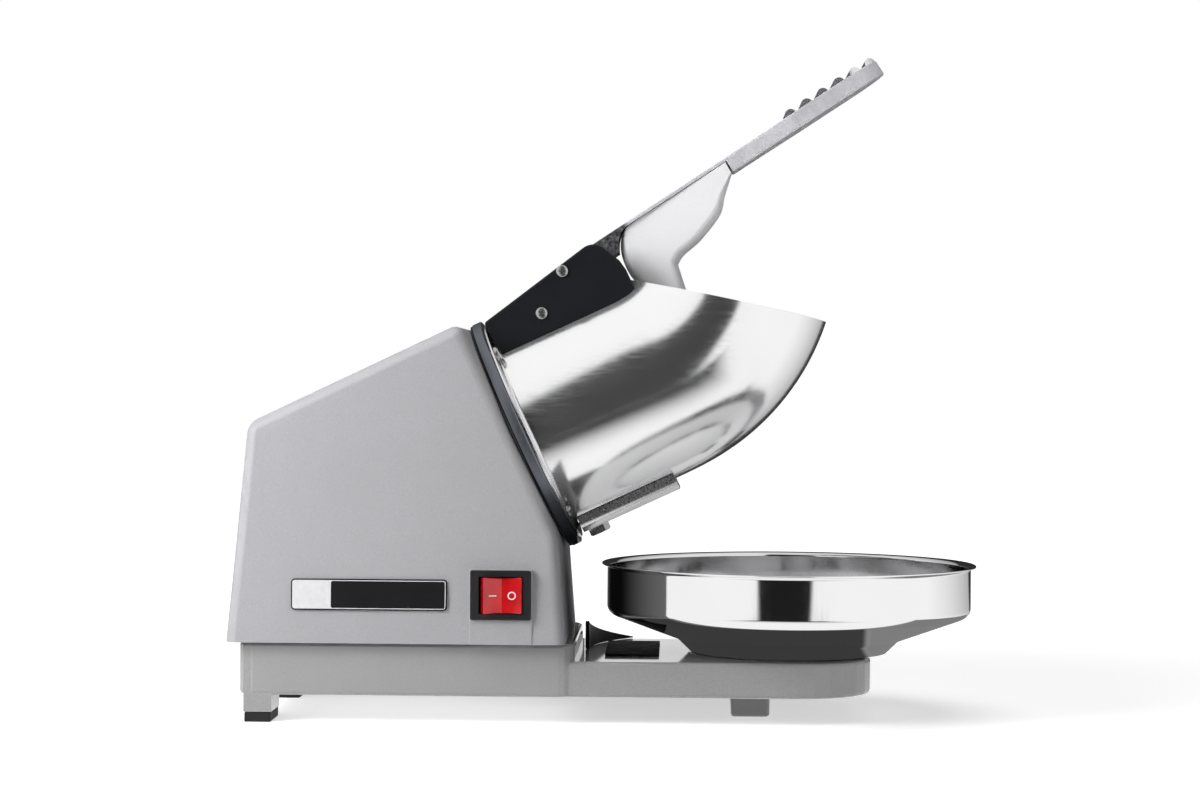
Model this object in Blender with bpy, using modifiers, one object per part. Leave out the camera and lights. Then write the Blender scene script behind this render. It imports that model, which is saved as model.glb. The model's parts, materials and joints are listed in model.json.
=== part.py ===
"""Electric ice crusher: a tilted motor head, a bent barrel fed from the top, a hand lever with a presser, and
a loose bowl on a cast base. Units are metres, Z is up, X runs from the casing's back to the bowl, and the
rocker switch is on the -Y side. The origin is on the ground in the middle of the object's length and width.

Three sets of axes are used: the ground's own; the head's, whose X runs out of the barrel and whose Z climbs
the casing's sloping front; and the lever's, whose X runs along the arm and whose Z stands on its top surface.
"""

import math

import bmesh
import bpy
from mathutils import Matrix, Vector

# General
GAP = 0.0003
ROUND_SEGMENTS = 24
TURN_STEPS = 40
INNER_STEPS = 20
SCREW_STEPS = 10
OVERRUN = 0.01

# Feet and base casting
FOOT_HEIGHT = 0.005
LEG_HEIGHT = 0.0088
LEG_LENGTH = 0.0144
LEG_WIDTH = 0.028
LEG_INSET = 0.003
FOOT_INSET = 0.0004
FRONT_LEG_LENGTH = 0.0206
FRONT_LEG_WIDTH = 0.052
FRONT_LEG_TO_BOWL = 0.0206
DECK_HEIGHT = 0.0271
PLATFORM_HEIGHT = 0.0183
PLATFORM_LENGTH = 0.1543
PLATFORM_HALF_WIDTH = 0.065
PLATFORM_CORNER = 0.040
DECK_CORNER = 0.008
CASTING_WALL = 0.004
CASTING_EDGE = 0.0018
DECK_NOSE = 0.0038
BACK_OVERHANG = 0.0067
SIDE_OVERHANG = 0.006
WIRE_WINDOW_LENGTH = 0.024
WIRE_WINDOW_WIDTH = 0.036

# Head: where the barrel's axis leaves the casing, and how it leans
HEAD_X = -0.0481
HEAD_HEIGHT = 0.105
HEAD_TILT_DEG = 25.0

# Casing
CASING_HALF_WIDTH = 0.073
CASING_DRAFT_DEG = 2.8
CASING_WALL = 0.003
CASING_EDGE = 0.006
FACE_UP = 0.0657
FACE_DOWN = 0.055
ROOF_LENGTH = 0.1213
ROOF_SLOPE_DEG = 25.6
BACK_RAKE = 0.0106
CHIN_RAKE = 0.005
CASING_HOLE_RADIUS = 0.023
CASING_LUG = 0.014
CASING_LUG_HEIGHT = 0.012

# Small screws shared by several places
SMALL_SCREW_RADIUS = 0.0015
SMALL_HEAD_RADIUS = 0.00315
SMALL_HEAD_HEIGHT = 0.0014
BOLT_RADIUS = 0.002
BOLT_HEAD_RADIUS = 0.0036
BOLT_HEAD_HEIGHT = 0.003
SCREW_CLEARANCE = 0.0004

# Bottom cover
COVER_THICKNESS = 0.0012
COVER_POST_RADIUS = 0.005
COVER_SCREW_LENGTH = 0.009
COVER_MARGIN = 0.0005

# Mounting ring, gasket and barrel flange
GASKET_THICKNESS = 0.0008
RING_THICKNESS = 0.0052
RING_RADIUS = 0.065
RING_EDGE = 0.0008
GASKET_INSET = 0.0005
SEAL_SEAT_RADIUS = 0.017
FLANGE_THICKNESS = 0.0012
FLANGE_RADIUS = 0.0623
RING_SCREW_RADIUS = 0.0025
RING_SCREW_CIRCLE = 0.0595
RING_HEAD_RADIUS = 0.0038
RING_HEAD_HEIGHT = 0.003
RING_SCREW_ANGLES = (42.0, 142.0, -142.0, -42.0)

# Barrel
BARREL_RADIUS = 0.055
BARREL_WALL = 0.001
BARREL_STRAIGHT = 0.0775
BEND_RADIUS = 0.077
MOUTH_TURN_DEG = 47.2
MOUTH_SLOPE_DEG = 36.5
BARREL_SIDES = 44
BEND_STEP_DEG = 6.0
NOTCH_START = 0.064

# Cutter
CHAMBER_END = 0.044
DISC_THICKNESS = 0.003
DISC_CLEARANCE = 0.0015
DISC_HUB_RADIUS = 0.011
VANE_HEIGHT = 0.009
VANE_THICKNESS = 0.003
BLADE_LENGTH = 0.034
BLADE_WIDTH = 0.012
BLADE_THICKNESS = 0.0025
BLADE_FROM_RIM = 0.0045
ICE_SLOT_WIDTH = 0.006
BLADE_SCREW_SPACING = 0.018
NUT_HEIGHT = 0.005
NUT_ACROSS = 0.013

# Discharge spout
SPOUT_START = 0.0105
SPOUT_FOOT_END = 0.0245
SPOUT_END = 0.0665
SPOUT_HALF_WIDTH = 0.020
SPOUT_DROP = 0.0055
SPOUT_WALL = 0.0011
SPOUT_CORNER = 0.003
DROP_SLOT_HALF_WIDTH = 0.015
DROP_SLOT_MARGIN = 0.0015
SPOUT_BOLT_AT = 0.018
SPOUT_BOLT_RADIUS = 0.003
SPOUT_HEX_ACROSS = 0.010
SPOUT_HEX_HEIGHT = 0.004

# Lever's pivot, bracket and lug
PIVOT_ALONG = 0.058
PIVOT_ABOVE_BARREL = 0.0145
PIVOT_PIN_RADIUS = 0.0025
BRACKET_START = 0.0095
BRACKET_END = 0.0888
BRACKET_HALF_WIDTH = 0.0345
BRACKET_BACK_RISE = 0.007
BRACKET_FRONT_RISE = 0.0226
BRACKET_SHOULDER = 0.009
BRACKET_WEB_END = 0.048
BRACKET_EDGE = 0.0012
SLOT_CLEARANCE = 0.0005
LUG_START = 0.029
LUG_END = 0.0475
LUG_HALF_WIDTH = 0.024
LUG_HEIGHT = 0.0055
LUG_SCREW_ALONG = 0.039
LUG_SCREW_LENGTH = 0.0145

# Lever arm and presser
LEVER_REST_DEG = 33.5
LEVER_PRESS_DEG = 33.0
ARM_REACH = 0.2012
ARM_TOP = 0.0042
ARM_BOTTOM = 0.0044
HUB_RADIUS = 0.007
HUB_HALF_WIDTH = 0.015
ROOT_LENGTH = 0.043
ROOT_CLEARANCE = 0.001
SKIN_THICKNESS = 0.0017
GRIP_START = 0.1042
WAIST_HALF_WIDTH = 0.0135
GRIP_HALF_WIDTH = 0.018
RIDGE_COUNT = 6
RIDGE_PITCH = 0.01014
RIDGE_RADIUS = 0.0032
RIDGE_FROM_TIP = 0.0043
PRESSER_HALF_WIDTH = 0.013
PRESSER_EDGE = 0.003
NECK_BACK = 0.029
NECK_FRONT = 0.0512
NECK_DROP = 0.0201
NECK_LOW = 0.037
ELBOW_ALONG = 0.056
ELBOW_DROP = 0.0276
WEB_ALONG = 0.087
WEB_DROP = 0.019
WEB_BELLY = 0.0014
PLATE_RADIUS = 0.034
PLATE_THICKNESS = 0.004
PLATE_BELOW_AXIS = 0.003
PLATE_TO_BLADES = 0.005
PRESSER_SCREW_PLACES = (0.058, 0.088)
PRESSER_SCREW_LENGTH = 0.010

# Motor
MOUNT_PLATE_THICKNESS = 0.004
MOUNT_PLATE_HALF_WIDTH = 0.046
MOUNT_PLATE_UP = 0.056
MOUNT_PLATE_DOWN = 0.0515
MOTOR_RADIUS = 0.045
BELL_WALL = 0.0085
BELL_PLATE = 0.006
FRONT_BELL_LENGTH = 0.0324
STATOR_LENGTH = 0.040
REAR_BELL_LENGTH = 0.0294
STATOR_BORE_RADIUS = 0.0235
AIR_GAP = 0.0005
WINDING_THICKNESS = 0.0065
WINDING_HEAD = 0.011
WINDING_CLEARANCE = 0.0006
SHAFT_RADIUS = 0.006
SHAFT_END_RADIUS = 0.004
BEARING_RADIUS = 0.016
BEARING_WIDTH = 0.0085
BEARING_LIP = 0.010
BOSS_RADIUS = 0.020
TIE_CIRCLE = 0.0408
FAN_RADIUS = 0.034
FAN_HEIGHT = 0.005
FAN_BLADES = 8
FAN_CLEARANCE = 0.0015

# Switch on the near side
SWITCH_X = -0.0535
SWITCH_HEIGHT = 0.0254
BEZEL_LENGTH = 0.0312
BEZEL_HEIGHT = 0.0255
BEZEL_THICKNESS = 0.0018
SWITCH_BODY_LENGTH = 0.0272
SWITCH_BODY_HEIGHT = 0.0214
SWITCH_BODY_DEPTH = 0.020
POCKET_LENGTH = 0.0224
POCKET_HEIGHT = 0.0190
POCKET_DEPTH = 0.013
PAD_PROUD = 0.0004
PAD_MARGIN = 0.0006
ROCKER_TILT_DEG = 10.0
ROCKER_PIN_RADIUS = 0.001
ROCKER_PIN_DEPTH = 0.002
ROCKER_END = 0.0098
ROCKER_BACK = 0.0045
ROCKER_PROUD = 0.0032
ROCKER_VALLEY = 0.0016

# Nameplate
NAMEPLATE_X = -0.121
NAMEPLATE_ABOVE = 0.025
NAMEPLATE_LENGTH = 0.080
NAMEPLATE_HEIGHT = 0.016
NAMEPLATE_THICKNESS = 0.001
NAMEPLATE_CORNER = 0.002

# Cord grommet
GROMMET_RADIUS = 0.006
GROMMET_FLANGE = 0.008
GROMMET_BORE = 0.0035
GROMMET_LIP = 0.0015

# Platform fittings
PAD_X = 0.013
PAD_LENGTH = 0.0284
PAD_WIDTH = 0.072
PAD_THICKNESS = 0.0012
GUARD_RADIUS = 0.1065
GUARD_THICKNESS = 0.002
GUARD_HEIGHT = 0.015
GUARD_LOW_END = 0.0012
GUARD_SWEEP_DEG = 38.0

# Bowl
BOWL_X = 0.0959
BOWL_RADIUS = 0.100
BOWL_WALL = 0.0009
BOWL_HEIGHT = 0.047
BOWL_BOTTOM_RADIUS = 0.052
BOWL_STEP_RADIUS = 0.0595
BOWL_STEP_HEIGHT = 0.0068
BOWL_SHOULDER_RADIUS = 0.0965
BOWL_SHOULDER_HEIGHT = 0.0215
BOWL_RIM_WIDTH = 0.003

# Levels and places that follow from the sizes
casting_bottom = FOOT_HEIGHT + GAP + LEG_HEIGHT
platform_top = casting_bottom + PLATFORM_HEIGHT
deck_top = casting_bottom + DECK_HEIGHT
casing_bottom = deck_top + GAP
head_z = casing_bottom + HEAD_HEIGHT
head_tilt = math.radians(HEAD_TILT_DEG)


def head_to_ground(along, up):
    """Ground X and Z of a point given along the barrel's axis and up the casing's face."""
    x = HEAD_X + along * math.cos(head_tilt) - up * math.sin(head_tilt)
    z = head_z + along * math.sin(head_tilt) + up * math.cos(head_tilt)
    return x, z


face_top = head_to_ground(0.0, FACE_UP)
face_bottom = head_to_ground(0.0, -FACE_DOWN)
roof_back = (
    face_top[0] - ROOF_LENGTH * math.cos(math.radians(ROOF_SLOPE_DEG)),
    face_top[1] - ROOF_LENGTH * math.sin(math.radians(ROOF_SLOPE_DEG)),
)
casing_back_x = roof_back[0] - BACK_RAKE
casing_front_x = face_bottom[0] + CHIN_RAKE
deck_back_x = casing_back_x + BACK_OVERHANG
deck_front_x = casing_front_x + DECK_NOSE
platform_front_x = deck_front_x + PLATFORM_LENGTH
deck_half_width = CASING_HALF_WIDTH - SIDE_OVERHANG

gasket_at = GAP
ring_at = gasket_at + GASKET_THICKNESS + GAP
flange_at = ring_at + RING_THICKNESS + GAP
flange_face = flange_at + FLANGE_THICKNESS
blade_face = CHAMBER_END + DISC_THICKNESS + GAP + BLADE_THICKNESS
disc_radius = BARREL_RADIUS - BARREL_WALL - DISC_CLEARANCE
blade_out = disc_radius - BLADE_FROM_RIM - BLADE_LENGTH / 2
pivot_up = BARREL_RADIUS + PIVOT_ABOVE_BARREL
mount_plate_front = -CASING_WALL - GAP
mount_plate_back = mount_plate_front - MOUNT_PLATE_THICKNESS
front_bell_face = mount_plate_back - GAP
stator_front = front_bell_face - FRONT_BELL_LENGTH - GAP
stator_back = stator_front - STATOR_LENGTH
rear_bell_front = stator_back - GAP
rear_bell_back = rear_bell_front - REAR_BELL_LENGTH
bell_bore = MOTOR_RADIUS - BELL_WALL


def empty_scene():
    for obj in list(bpy.data.objects):
        bpy.data.objects.remove(obj, do_unlink=True)


def new_collection(name):
    collection = bpy.data.collections.new(name)
    bpy.context.scene.collection.children.link(collection)
    return collection


empty_scene()
PARTS = new_collection("ice_crusher")
CUTTERS = new_collection("cutters")


def material(name, colour, roughness, metallic):
    mat = bpy.data.materials.new(name)
    mat.use_nodes = True
    shader = mat.node_tree.nodes["Principled BSDF"]
    shader.inputs["Base Color"].default_value = (*colour, 1.0)
    shader.inputs["Roughness"].default_value = roughness
    shader.inputs["Metallic"].default_value = metallic
    mat.diffuse_color = (*colour, 1.0)
    return mat


PAINT = material("silver_paint", (0.46, 0.45, 0.47), 0.55, 0.2)
STAINLESS = material("polished_stainless", (0.75, 0.75, 0.76), 0.12, 1.0)
BARE_ALUMINIUM = material("bare_aluminium", (0.60, 0.60, 0.61), 0.38, 1.0)
RING_METAL = material("ring_metal", (0.22, 0.24, 0.27), 0.4, 0.8)
BLACK_PLASTIC = material("black_plastic", (0.02, 0.02, 0.022), 0.45, 0.0)
RUBBER = material("black_rubber", (0.012, 0.012, 0.012), 0.8, 0.0)
RED_PLASTIC = material("red_plastic", (0.60, 0.01, 0.02), 0.2, 0.0)
FASTENER = material("zinc_fastener", (0.62, 0.62, 0.60), 0.3, 1.0)
STEEL = material("machined_steel", (0.50, 0.50, 0.50), 0.35, 1.0)
LAMINATION = material("steel_lamination", (0.25, 0.25, 0.27), 0.5, 0.9)
COPPER = material("enamelled_copper", (0.55, 0.22, 0.08), 0.35, 0.9)
PLATE_BLACK = material("nameplate_black", (0.02, 0.02, 0.02), 0.35, 0.0)


def frame(name, location, pitch=0.0, parent=None):
    """An empty whose X leans up from the horizontal by pitch."""
    obj = bpy.data.objects.new(name, None)
    PARTS.objects.link(obj)
    obj.location = location
    obj.rotation_euler = (0.0, -pitch, 0.0)
    obj.parent = parent
    return obj


pivot_x, pivot_z = head_to_ground(PIVOT_ALONG, pivot_up)
GROUND = frame("ground", (0.0, 0.0, 0.0))
HEAD = frame("head", (HEAD_X, 0.0, head_z), head_tilt, GROUND)
ROTOR = frame("rotor_axis", (0.0, 0.0, 0.0), 0.0, HEAD)
ROTOR.rotation_euler.x = math.pi / 2
LEVER = frame("lever_pivot", (pivot_x, 0.0, pivot_z), math.radians(LEVER_REST_DEG), GROUND)
BOWL = frame("bowl_seat", (BOWL_X, 0.0, platform_top + GAP), 0.0, GROUND)

TURN_AXIS = {
    "X": (0.0, math.pi / 2, 0.0),
    "Y": (-math.pi / 2, 0.0, 0.0),
    "Z": (0.0, 0.0, 0.0),
}


def add_mesh(name, bm, parent):
    mesh = bpy.data.meshes.new(name)
    bm.to_mesh(mesh)
    bm.free()
    obj = bpy.data.objects.new(name, mesh)
    PARTS.objects.link(obj)
    obj.parent = parent
    return obj


def box(name, low, high, parent):
    bm = bmesh.new()
    bmesh.ops.create_cube(bm, size=1.0)
    size = Vector(high) - Vector(low)
    middle = (Vector(high) + Vector(low)) / 2
    bmesh.ops.scale(bm, vec=size, verts=bm.verts)
    bmesh.ops.translate(bm, vec=middle, verts=bm.verts)
    return add_mesh(name, bm, parent)


def rod(name, radius, start, end, parent, axis="X", at=(0.0, 0.0, 0.0), segments=ROUND_SEGMENTS):
    """A cylinder from start to end along one of its parent's axes, through the point at."""
    bm = bmesh.new()
    bmesh.ops.create_cone(
        bm, cap_ends=True, segments=segments, radius1=radius, radius2=radius, depth=end - start
    )
    bmesh.ops.translate(bm, vec=(0.0, 0.0, (start + end) / 2), verts=bm.verts)
    obj = add_mesh(name, bm, parent)
    obj.rotation_euler = TURN_AXIS[axis]
    obj.location = at
    return obj


def hexagon(name, across, start, end, parent, axis, at=(0.0, 0.0, 0.0)):
    return rod(name, across / math.sqrt(3.0), start, end, parent, axis, at, 6)


def turned(name, profile, parent, axis="X", at=(0.0, 0.0, 0.0), steps=TURN_STEPS, closed=False):
    """A profile of (radius, height), its outer side first and from the top down, turned about an axis."""
    bm = bmesh.new()
    verts = [bm.verts.new((radius, 0.0, height)) for radius, height in profile]
    for first, second in zip(verts, verts[1:]):
        bm.edges.new((first, second))
    if closed:
        bm.edges.new((verts[-1], verts[0]))
    obj = add_mesh(name, bm, parent)
    obj.rotation_euler = TURN_AXIS[axis]
    obj.location = at
    screw = obj.modifiers.new("turn", "SCREW")
    screw.axis = "Z"
    screw.steps = steps
    screw.render_steps = steps
    screw.use_merge_vertices = True
    screw.merge_threshold = 0.00005
    return obj


def ring(name, outer, inner, start, end, parent, axis="X", at=(0.0, 0.0, 0.0), steps=TURN_STEPS):
    profile = [(outer, end), (outer, start), (inner, start), (inner, end)]
    return turned(name, profile, parent, axis, at, steps, closed=True)


def as_mesh(obj):
    """Turns a curve object into a mesh object of the same name, its caps welded."""
    bpy.context.view_layer.update()
    evaluated = obj.evaluated_get(bpy.context.evaluated_depsgraph_get())
    mesh = bpy.data.meshes.new_from_object(evaluated)
    bm = bmesh.new()
    bm.from_mesh(mesh)
    bmesh.ops.remove_doubles(bm, verts=bm.verts, dist=0.000001)
    bmesh.ops.dissolve_limit(bm, angle_limit=math.radians(0.05), verts=bm.verts, edges=bm.edges)
    bmesh.ops.recalc_face_normals(bm, faces=bm.faces)
    bm.to_mesh(mesh)
    bm.free()
    name = obj.name
    parent = obj.parent
    basis = obj.matrix_basis.copy()
    bpy.data.objects.remove(obj, do_unlink=True)
    solid = bpy.data.objects.new(name, mesh)
    PARTS.objects.link(solid)
    solid.parent = parent
    solid.matrix_basis = basis
    return solid


PLANE_TURN = {
    "XY": Matrix.Identity(4),
    "XZ": Matrix.Rotation(math.pi / 2, 4, "X"),
    "YZ": Matrix(((0, 0, 1, 0), (1, 0, 0, 0), (0, 1, 0, 0), (0, 0, 0, 1))),
}


def slab(name, outline, start, end, parent, plane="XY", at=(0.0, 0.0, 0.0)):
    """A flat outline in a plane of its parent, made solid from start to end along the plane's normal.

    The normals are +Z for XY, -Y for XZ and +X for YZ.
    """
    curve = bpy.data.curves.new(name, "CURVE")
    curve.dimensions = "2D"
    curve.fill_mode = "BOTH"
    curve.extrude = (end - start) / 2
    spline = curve.splines.new("POLY")
    spline.points.add(len(outline) - 1)
    for point, (x, y) in zip(spline.points, outline):
        point.co = (x, y, 0.0, 1.0)
    spline.use_cyclic_u = True
    obj = bpy.data.objects.new(name, curve)
    PARTS.objects.link(obj)
    obj.parent = parent
    shift = Matrix.Translation((0.0, 0.0, (start + end) / 2))
    obj.matrix_basis = Matrix.Translation(at) @ PLANE_TURN[plane] @ shift
    return as_mesh(obj)


def arc(centre, radius, start_deg, end_deg, steps):
    points = []
    for step in range(steps + 1):
        angle = math.radians(start_deg + (end_deg - start_deg) * step / steps)
        points.append((centre[0] + radius * math.cos(angle), centre[1] + radius * math.sin(angle)))
    return points


def rounded(corners, steps=4):
    """An outline from corners (x, y, radius); a corner with no radius stays sharp."""
    points = []
    for index, (x, y, radius) in enumerate(corners):
        here = Vector((x, y))
        if radius <= 0.0:
            points.append((x, y))
            continue
        before = (Vector(corners[index - 1][:2]) - here).normalized()
        after = (Vector(corners[(index + 1) % len(corners)][:2]) - here).normalized()
        half = before.angle(after) / 2
        reach = radius / math.tan(half)
        centre = here + (before + after).normalized() * (radius / math.sin(half))
        first = here + before * reach - centre
        last = here + after * reach - centre
        turn = first.angle_signed(last)
        for step in range(steps + 1):
            spoke = first.copy()
            spoke.rotate(Matrix.Rotation(-turn * step / steps, 2))
            points.append(tuple(centre + spoke))
    return points


def rectangle(low, high, radius=0.0):
    (x0, y0), (x1, y1) = low, high
    return rounded([(x0, y0, radius), (x1, y0, radius), (x1, y1, radius), (x0, y1, radius)])


def through(points, steps=3):
    """A smooth run through points, ends included."""
    padded = [points[0], *points, points[-1]]
    run = [tuple(points[0])]
    for index in range(1, len(padded) - 2):
        p0, p1, p2, p3 = (Vector(p) for p in padded[index - 1:index + 3])
        for step in range(1, steps + 1):
            t = step / steps
            bend = (2 * p0 - 5 * p1 + 4 * p2 - p3) * t * t + (3 * p1 - p0 - 3 * p2 + p3) * t ** 3
            run.append(tuple(p1 + 0.5 * ((p2 - p0) * t + bend)))
    return run


def tool(obj):
    for collection in list(obj.users_collection):
        collection.objects.unlink(obj)
    CUTTERS.objects.link(obj)
    obj.hide_render = True
    obj.display_type = "WIRE"
    return obj


def combine(obj, operation, others):
    for other in others:
        boolean = obj.modifiers.new(operation.lower(), "BOOLEAN")
        boolean.operation = operation
        boolean.solver = "EXACT"
        boolean.object = tool(other)


def cut(obj, *others):
    combine(obj, "DIFFERENCE", others)


def join(obj, *others):
    combine(obj, "UNION", others)


def keep_inside(obj, *others):
    combine(obj, "INTERSECT", others)


def round_edges(obj, width, segments=2, limit_deg=50.0):
    bevel = obj.modifiers.new("edges", "BEVEL")
    bevel.width = width
    bevel.segments = segments
    bevel.limit_method = "ANGLE"
    bevel.angle_limit = math.radians(limit_deg)
    bevel.use_clamp_overlap = True


def finish(obj, mat, smooth=True):
    obj.data.materials.clear()
    obj.data.materials.append(mat)
    if smooth:
        obj.data.shade_smooth()
        if obj.data.polygons:
            obj.data.set_sharp_from_angle(angle=math.radians(35.0))
        for modifier in obj.modifiers:
            if modifier.type == "SCREW":
                modifier.use_smooth_shade = True
    return obj


def screw(name, radius, length, head_radius, head_height, parent, axis, at, tip=1, mat=FASTENER):
    """A round-headed screw whose head's underside is at the point at; tip is the way it points."""
    profile = [
        (0.0, head_height),
        (head_radius * 0.62, head_height),
        (head_radius, head_height * 0.45),
        (head_radius, 0.0),
        (radius, 0.0),
        (radius, -length),
        (0.0, -length),
    ]
    obj = turned(name, profile, parent, axis, at, SCREW_STEPS)
    if tip > 0:
        flip = Matrix.Rotation(math.pi, 4, "X" if axis != "X" else "Z")
        obj.matrix_basis = Matrix.Translation(at) @ flip @ Matrix.Translation(-Vector(at)) @ obj.matrix_basis
    return finish(obj, mat)


# Base casting

def platform_outline(inset, back_x):
    front = platform_front_x - inset
    side = PLATFORM_HALF_WIDTH - inset
    corner = PLATFORM_CORNER - inset
    corners = [(back_x, -side, 0.0), (front, -side, corner), (front, side, corner), (back_x, side, 0.0)]
    return rounded(corners, 7)


def casing_bolt_places():
    """The four bolts that hold the casing, as points on the ground plan."""
    inset = CASTING_WALL + CASING_LUG / 2 + GAP
    places = []
    for x in (deck_back_x + inset + LEG_LENGTH, deck_front_x - DECK_NOSE - inset - CASTING_WALL):
        for side in (-1, 1):
            places.append((x, side * (deck_half_width - CASTING_WALL - BOLT_HEAD_RADIUS - GAP * 2)))
    return places


def cover_screw_places():
    back, front = cover_span()
    inset = COVER_POST_RADIUS + GAP
    return [(back + inset, 0.0), (front - inset, 0.0)]


def cover_span():
    back = deck_back_x + LEG_INSET + LEG_LENGTH + COVER_MARGIN
    front = deck_front_x - CASTING_WALL - COVER_MARGIN
    return back, front


def base_casting():
    front_x = deck_front_x
    deck = slab(
        "base_casting",
        rectangle((deck_back_x, -deck_half_width), (front_x, deck_half_width), DECK_CORNER),
        casting_bottom, deck_top, GROUND,
    )
    round_edges(deck, CASTING_EDGE)
    platform = slab(
        "platform_form", platform_outline(0.0, front_x - CASTING_WALL * 2), casting_bottom, platform_top,
        GROUND,
    )
    round_edges(platform, CASTING_EDGE)
    join(deck, platform)
    wall = CASTING_WALL
    deck_hollow = slab(
        "deck_hollow",
        rectangle(
            (deck_back_x + wall, -deck_half_width + wall), (front_x - wall, deck_half_width - wall), wall
        ),
        casting_bottom - OVERRUN, deck_top - wall, GROUND,
    )
    platform_hollow = slab(
        "platform_hollow", platform_outline(wall, front_x + wall), casting_bottom - OVERRUN,
        platform_top - wall, GROUND,
    )
    cut(deck, deck_hollow, platform_hollow)

    leg_x = deck_back_x + LEG_INSET
    for side in (-1, 1):
        outer = side * (deck_half_width - GAP)
        inner = side * (deck_half_width - LEG_WIDTH)
        leg = box(
            "leg_form",
            (leg_x, min(outer, inner), FOOT_HEIGHT + GAP),
            (leg_x + LEG_LENGTH, max(outer, inner), deck_top - wall / 2),
            GROUND,
        )
        join(deck, leg)
    front_leg = box(
        "front_leg_form",
        (BOWL_X - FRONT_LEG_TO_BOWL - FRONT_LEG_LENGTH / 2, -FRONT_LEG_WIDTH / 2, 0.0),
        (BOWL_X - FRONT_LEG_TO_BOWL + FRONT_LEG_LENGTH / 2, FRONT_LEG_WIDTH / 2, platform_top - wall / 2),
        GROUND,
    )
    round_edges(front_leg, CASTING_EDGE)
    join(deck, front_leg)

    cover_top = casting_bottom + COVER_THICKNESS
    for x, y in cover_screw_places():
        post = rod(
            "post_form", COVER_POST_RADIUS, cover_top + GAP, deck_top - wall / 2, GROUND, "Z", (x, y, 0.0), 16
        )
        join(deck, post)
    for x, y in cover_screw_places():
        hole = rod(
            "post_hole", SMALL_SCREW_RADIUS + SCREW_CLEARANCE, cover_top - OVERRUN,
            cover_top + COVER_SCREW_LENGTH + GAP, GROUND, "Z", (x, y, 0.0), 12,
        )
        cut(deck, hole)

    for x, y in casing_bolt_places():
        hole = rod(
            "deck_hole", BOLT_RADIUS + SCREW_CLEARANCE, deck_top - wall - GAP * 2, deck_top + OVERRUN,
            GROUND, "Z", (x, y, 0.0), 12,
        )
        cut(deck, hole)
    window_x = cover_screw_places()[0][0] + COVER_POST_RADIUS + wall
    window = box(
        "wire_window",
        (window_x, -WIRE_WINDOW_WIDTH / 2, deck_top - wall - OVERRUN),
        (window_x + WIRE_WINDOW_LENGTH, WIRE_WINDOW_WIDTH / 2, deck_top + OVERRUN),
        GROUND,
    )
    grommet_hole = rod(
        "grommet_hole", GROMMET_RADIUS + GAP, deck_back_x - OVERRUN, deck_back_x + wall + OVERRUN / 2, GROUND,
        "X", (0.0, 0.0, grommet_height()),
    )
    cut(deck, window, grommet_hole)
    finish(deck, PAINT)


def grommet_height():
    return casting_bottom + DECK_HEIGHT / 2


def cord_grommet():
    outer = deck_back_x - GAP
    inner = deck_back_x + CASTING_WALL + GAP
    profile = [
        (GROMMET_FLANGE, inner + GROMMET_LIP),
        (GROMMET_FLANGE, inner),
        (GROMMET_RADIUS, inner),
        (GROMMET_RADIUS, outer),
        (GROMMET_FLANGE, outer),
        (GROMMET_FLANGE, outer - GROMMET_LIP),
        (GROMMET_BORE, outer - GROMMET_LIP),
        (GROMMET_BORE, inner + GROMMET_LIP),
    ]
    obj = turned(
        "cord_grommet", profile, GROUND, "X", (0.0, 0.0, grommet_height()), INNER_STEPS, closed=True
    )
    finish(obj, RUBBER)


def feet():
    leg_x = deck_back_x + LEG_INSET
    for side, name in ((-1, "rear_foot_near"), (1, "rear_foot_far")):
        outer = side * (deck_half_width - GAP - FOOT_INSET)
        inner = side * (deck_half_width - LEG_WIDTH + FOOT_INSET)
        foot = box(
            name,
            (leg_x + FOOT_INSET, min(outer, inner), 0.0),
            (leg_x + LEG_LENGTH - FOOT_INSET, max(outer, inner), FOOT_HEIGHT),
            GROUND,
        )
        round_edges(foot, FOOT_INSET)
        finish(foot, RUBBER)


def bottom_cover():
    back, front = cover_span()
    side = deck_half_width - CASTING_WALL - COVER_MARGIN
    cover = slab(
        "bottom_cover", rectangle((back, -side), (front, side), CASTING_WALL), casting_bottom,
        casting_bottom + COVER_THICKNESS, GROUND,
    )
    for number, (x, y) in enumerate(cover_screw_places(), 1):
        hole = rod(
            "cover_hole", SMALL_SCREW_RADIUS + SCREW_CLEARANCE, casting_bottom - OVERRUN,
            casting_bottom + OVERRUN, GROUND, "Z", (x, y, 0.0), 12,
        )
        cut(cover, hole)
        screw(
            f"cover_screw_{number}", SMALL_SCREW_RADIUS, COVER_SCREW_LENGTH, SMALL_HEAD_RADIUS,
            SMALL_HEAD_HEIGHT, GROUND, "Z", (x, y, casting_bottom - GAP),
        )
    finish(cover, STEEL)


# Casing

def casing_outline():
    return [
        (casing_back_x, casing_bottom),
        (casing_front_x, casing_bottom),
        face_bottom,
        face_top,
        roof_back,
    ]


def wall_slope():
    return math.tan(math.radians(CASING_DRAFT_DEG))


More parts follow.
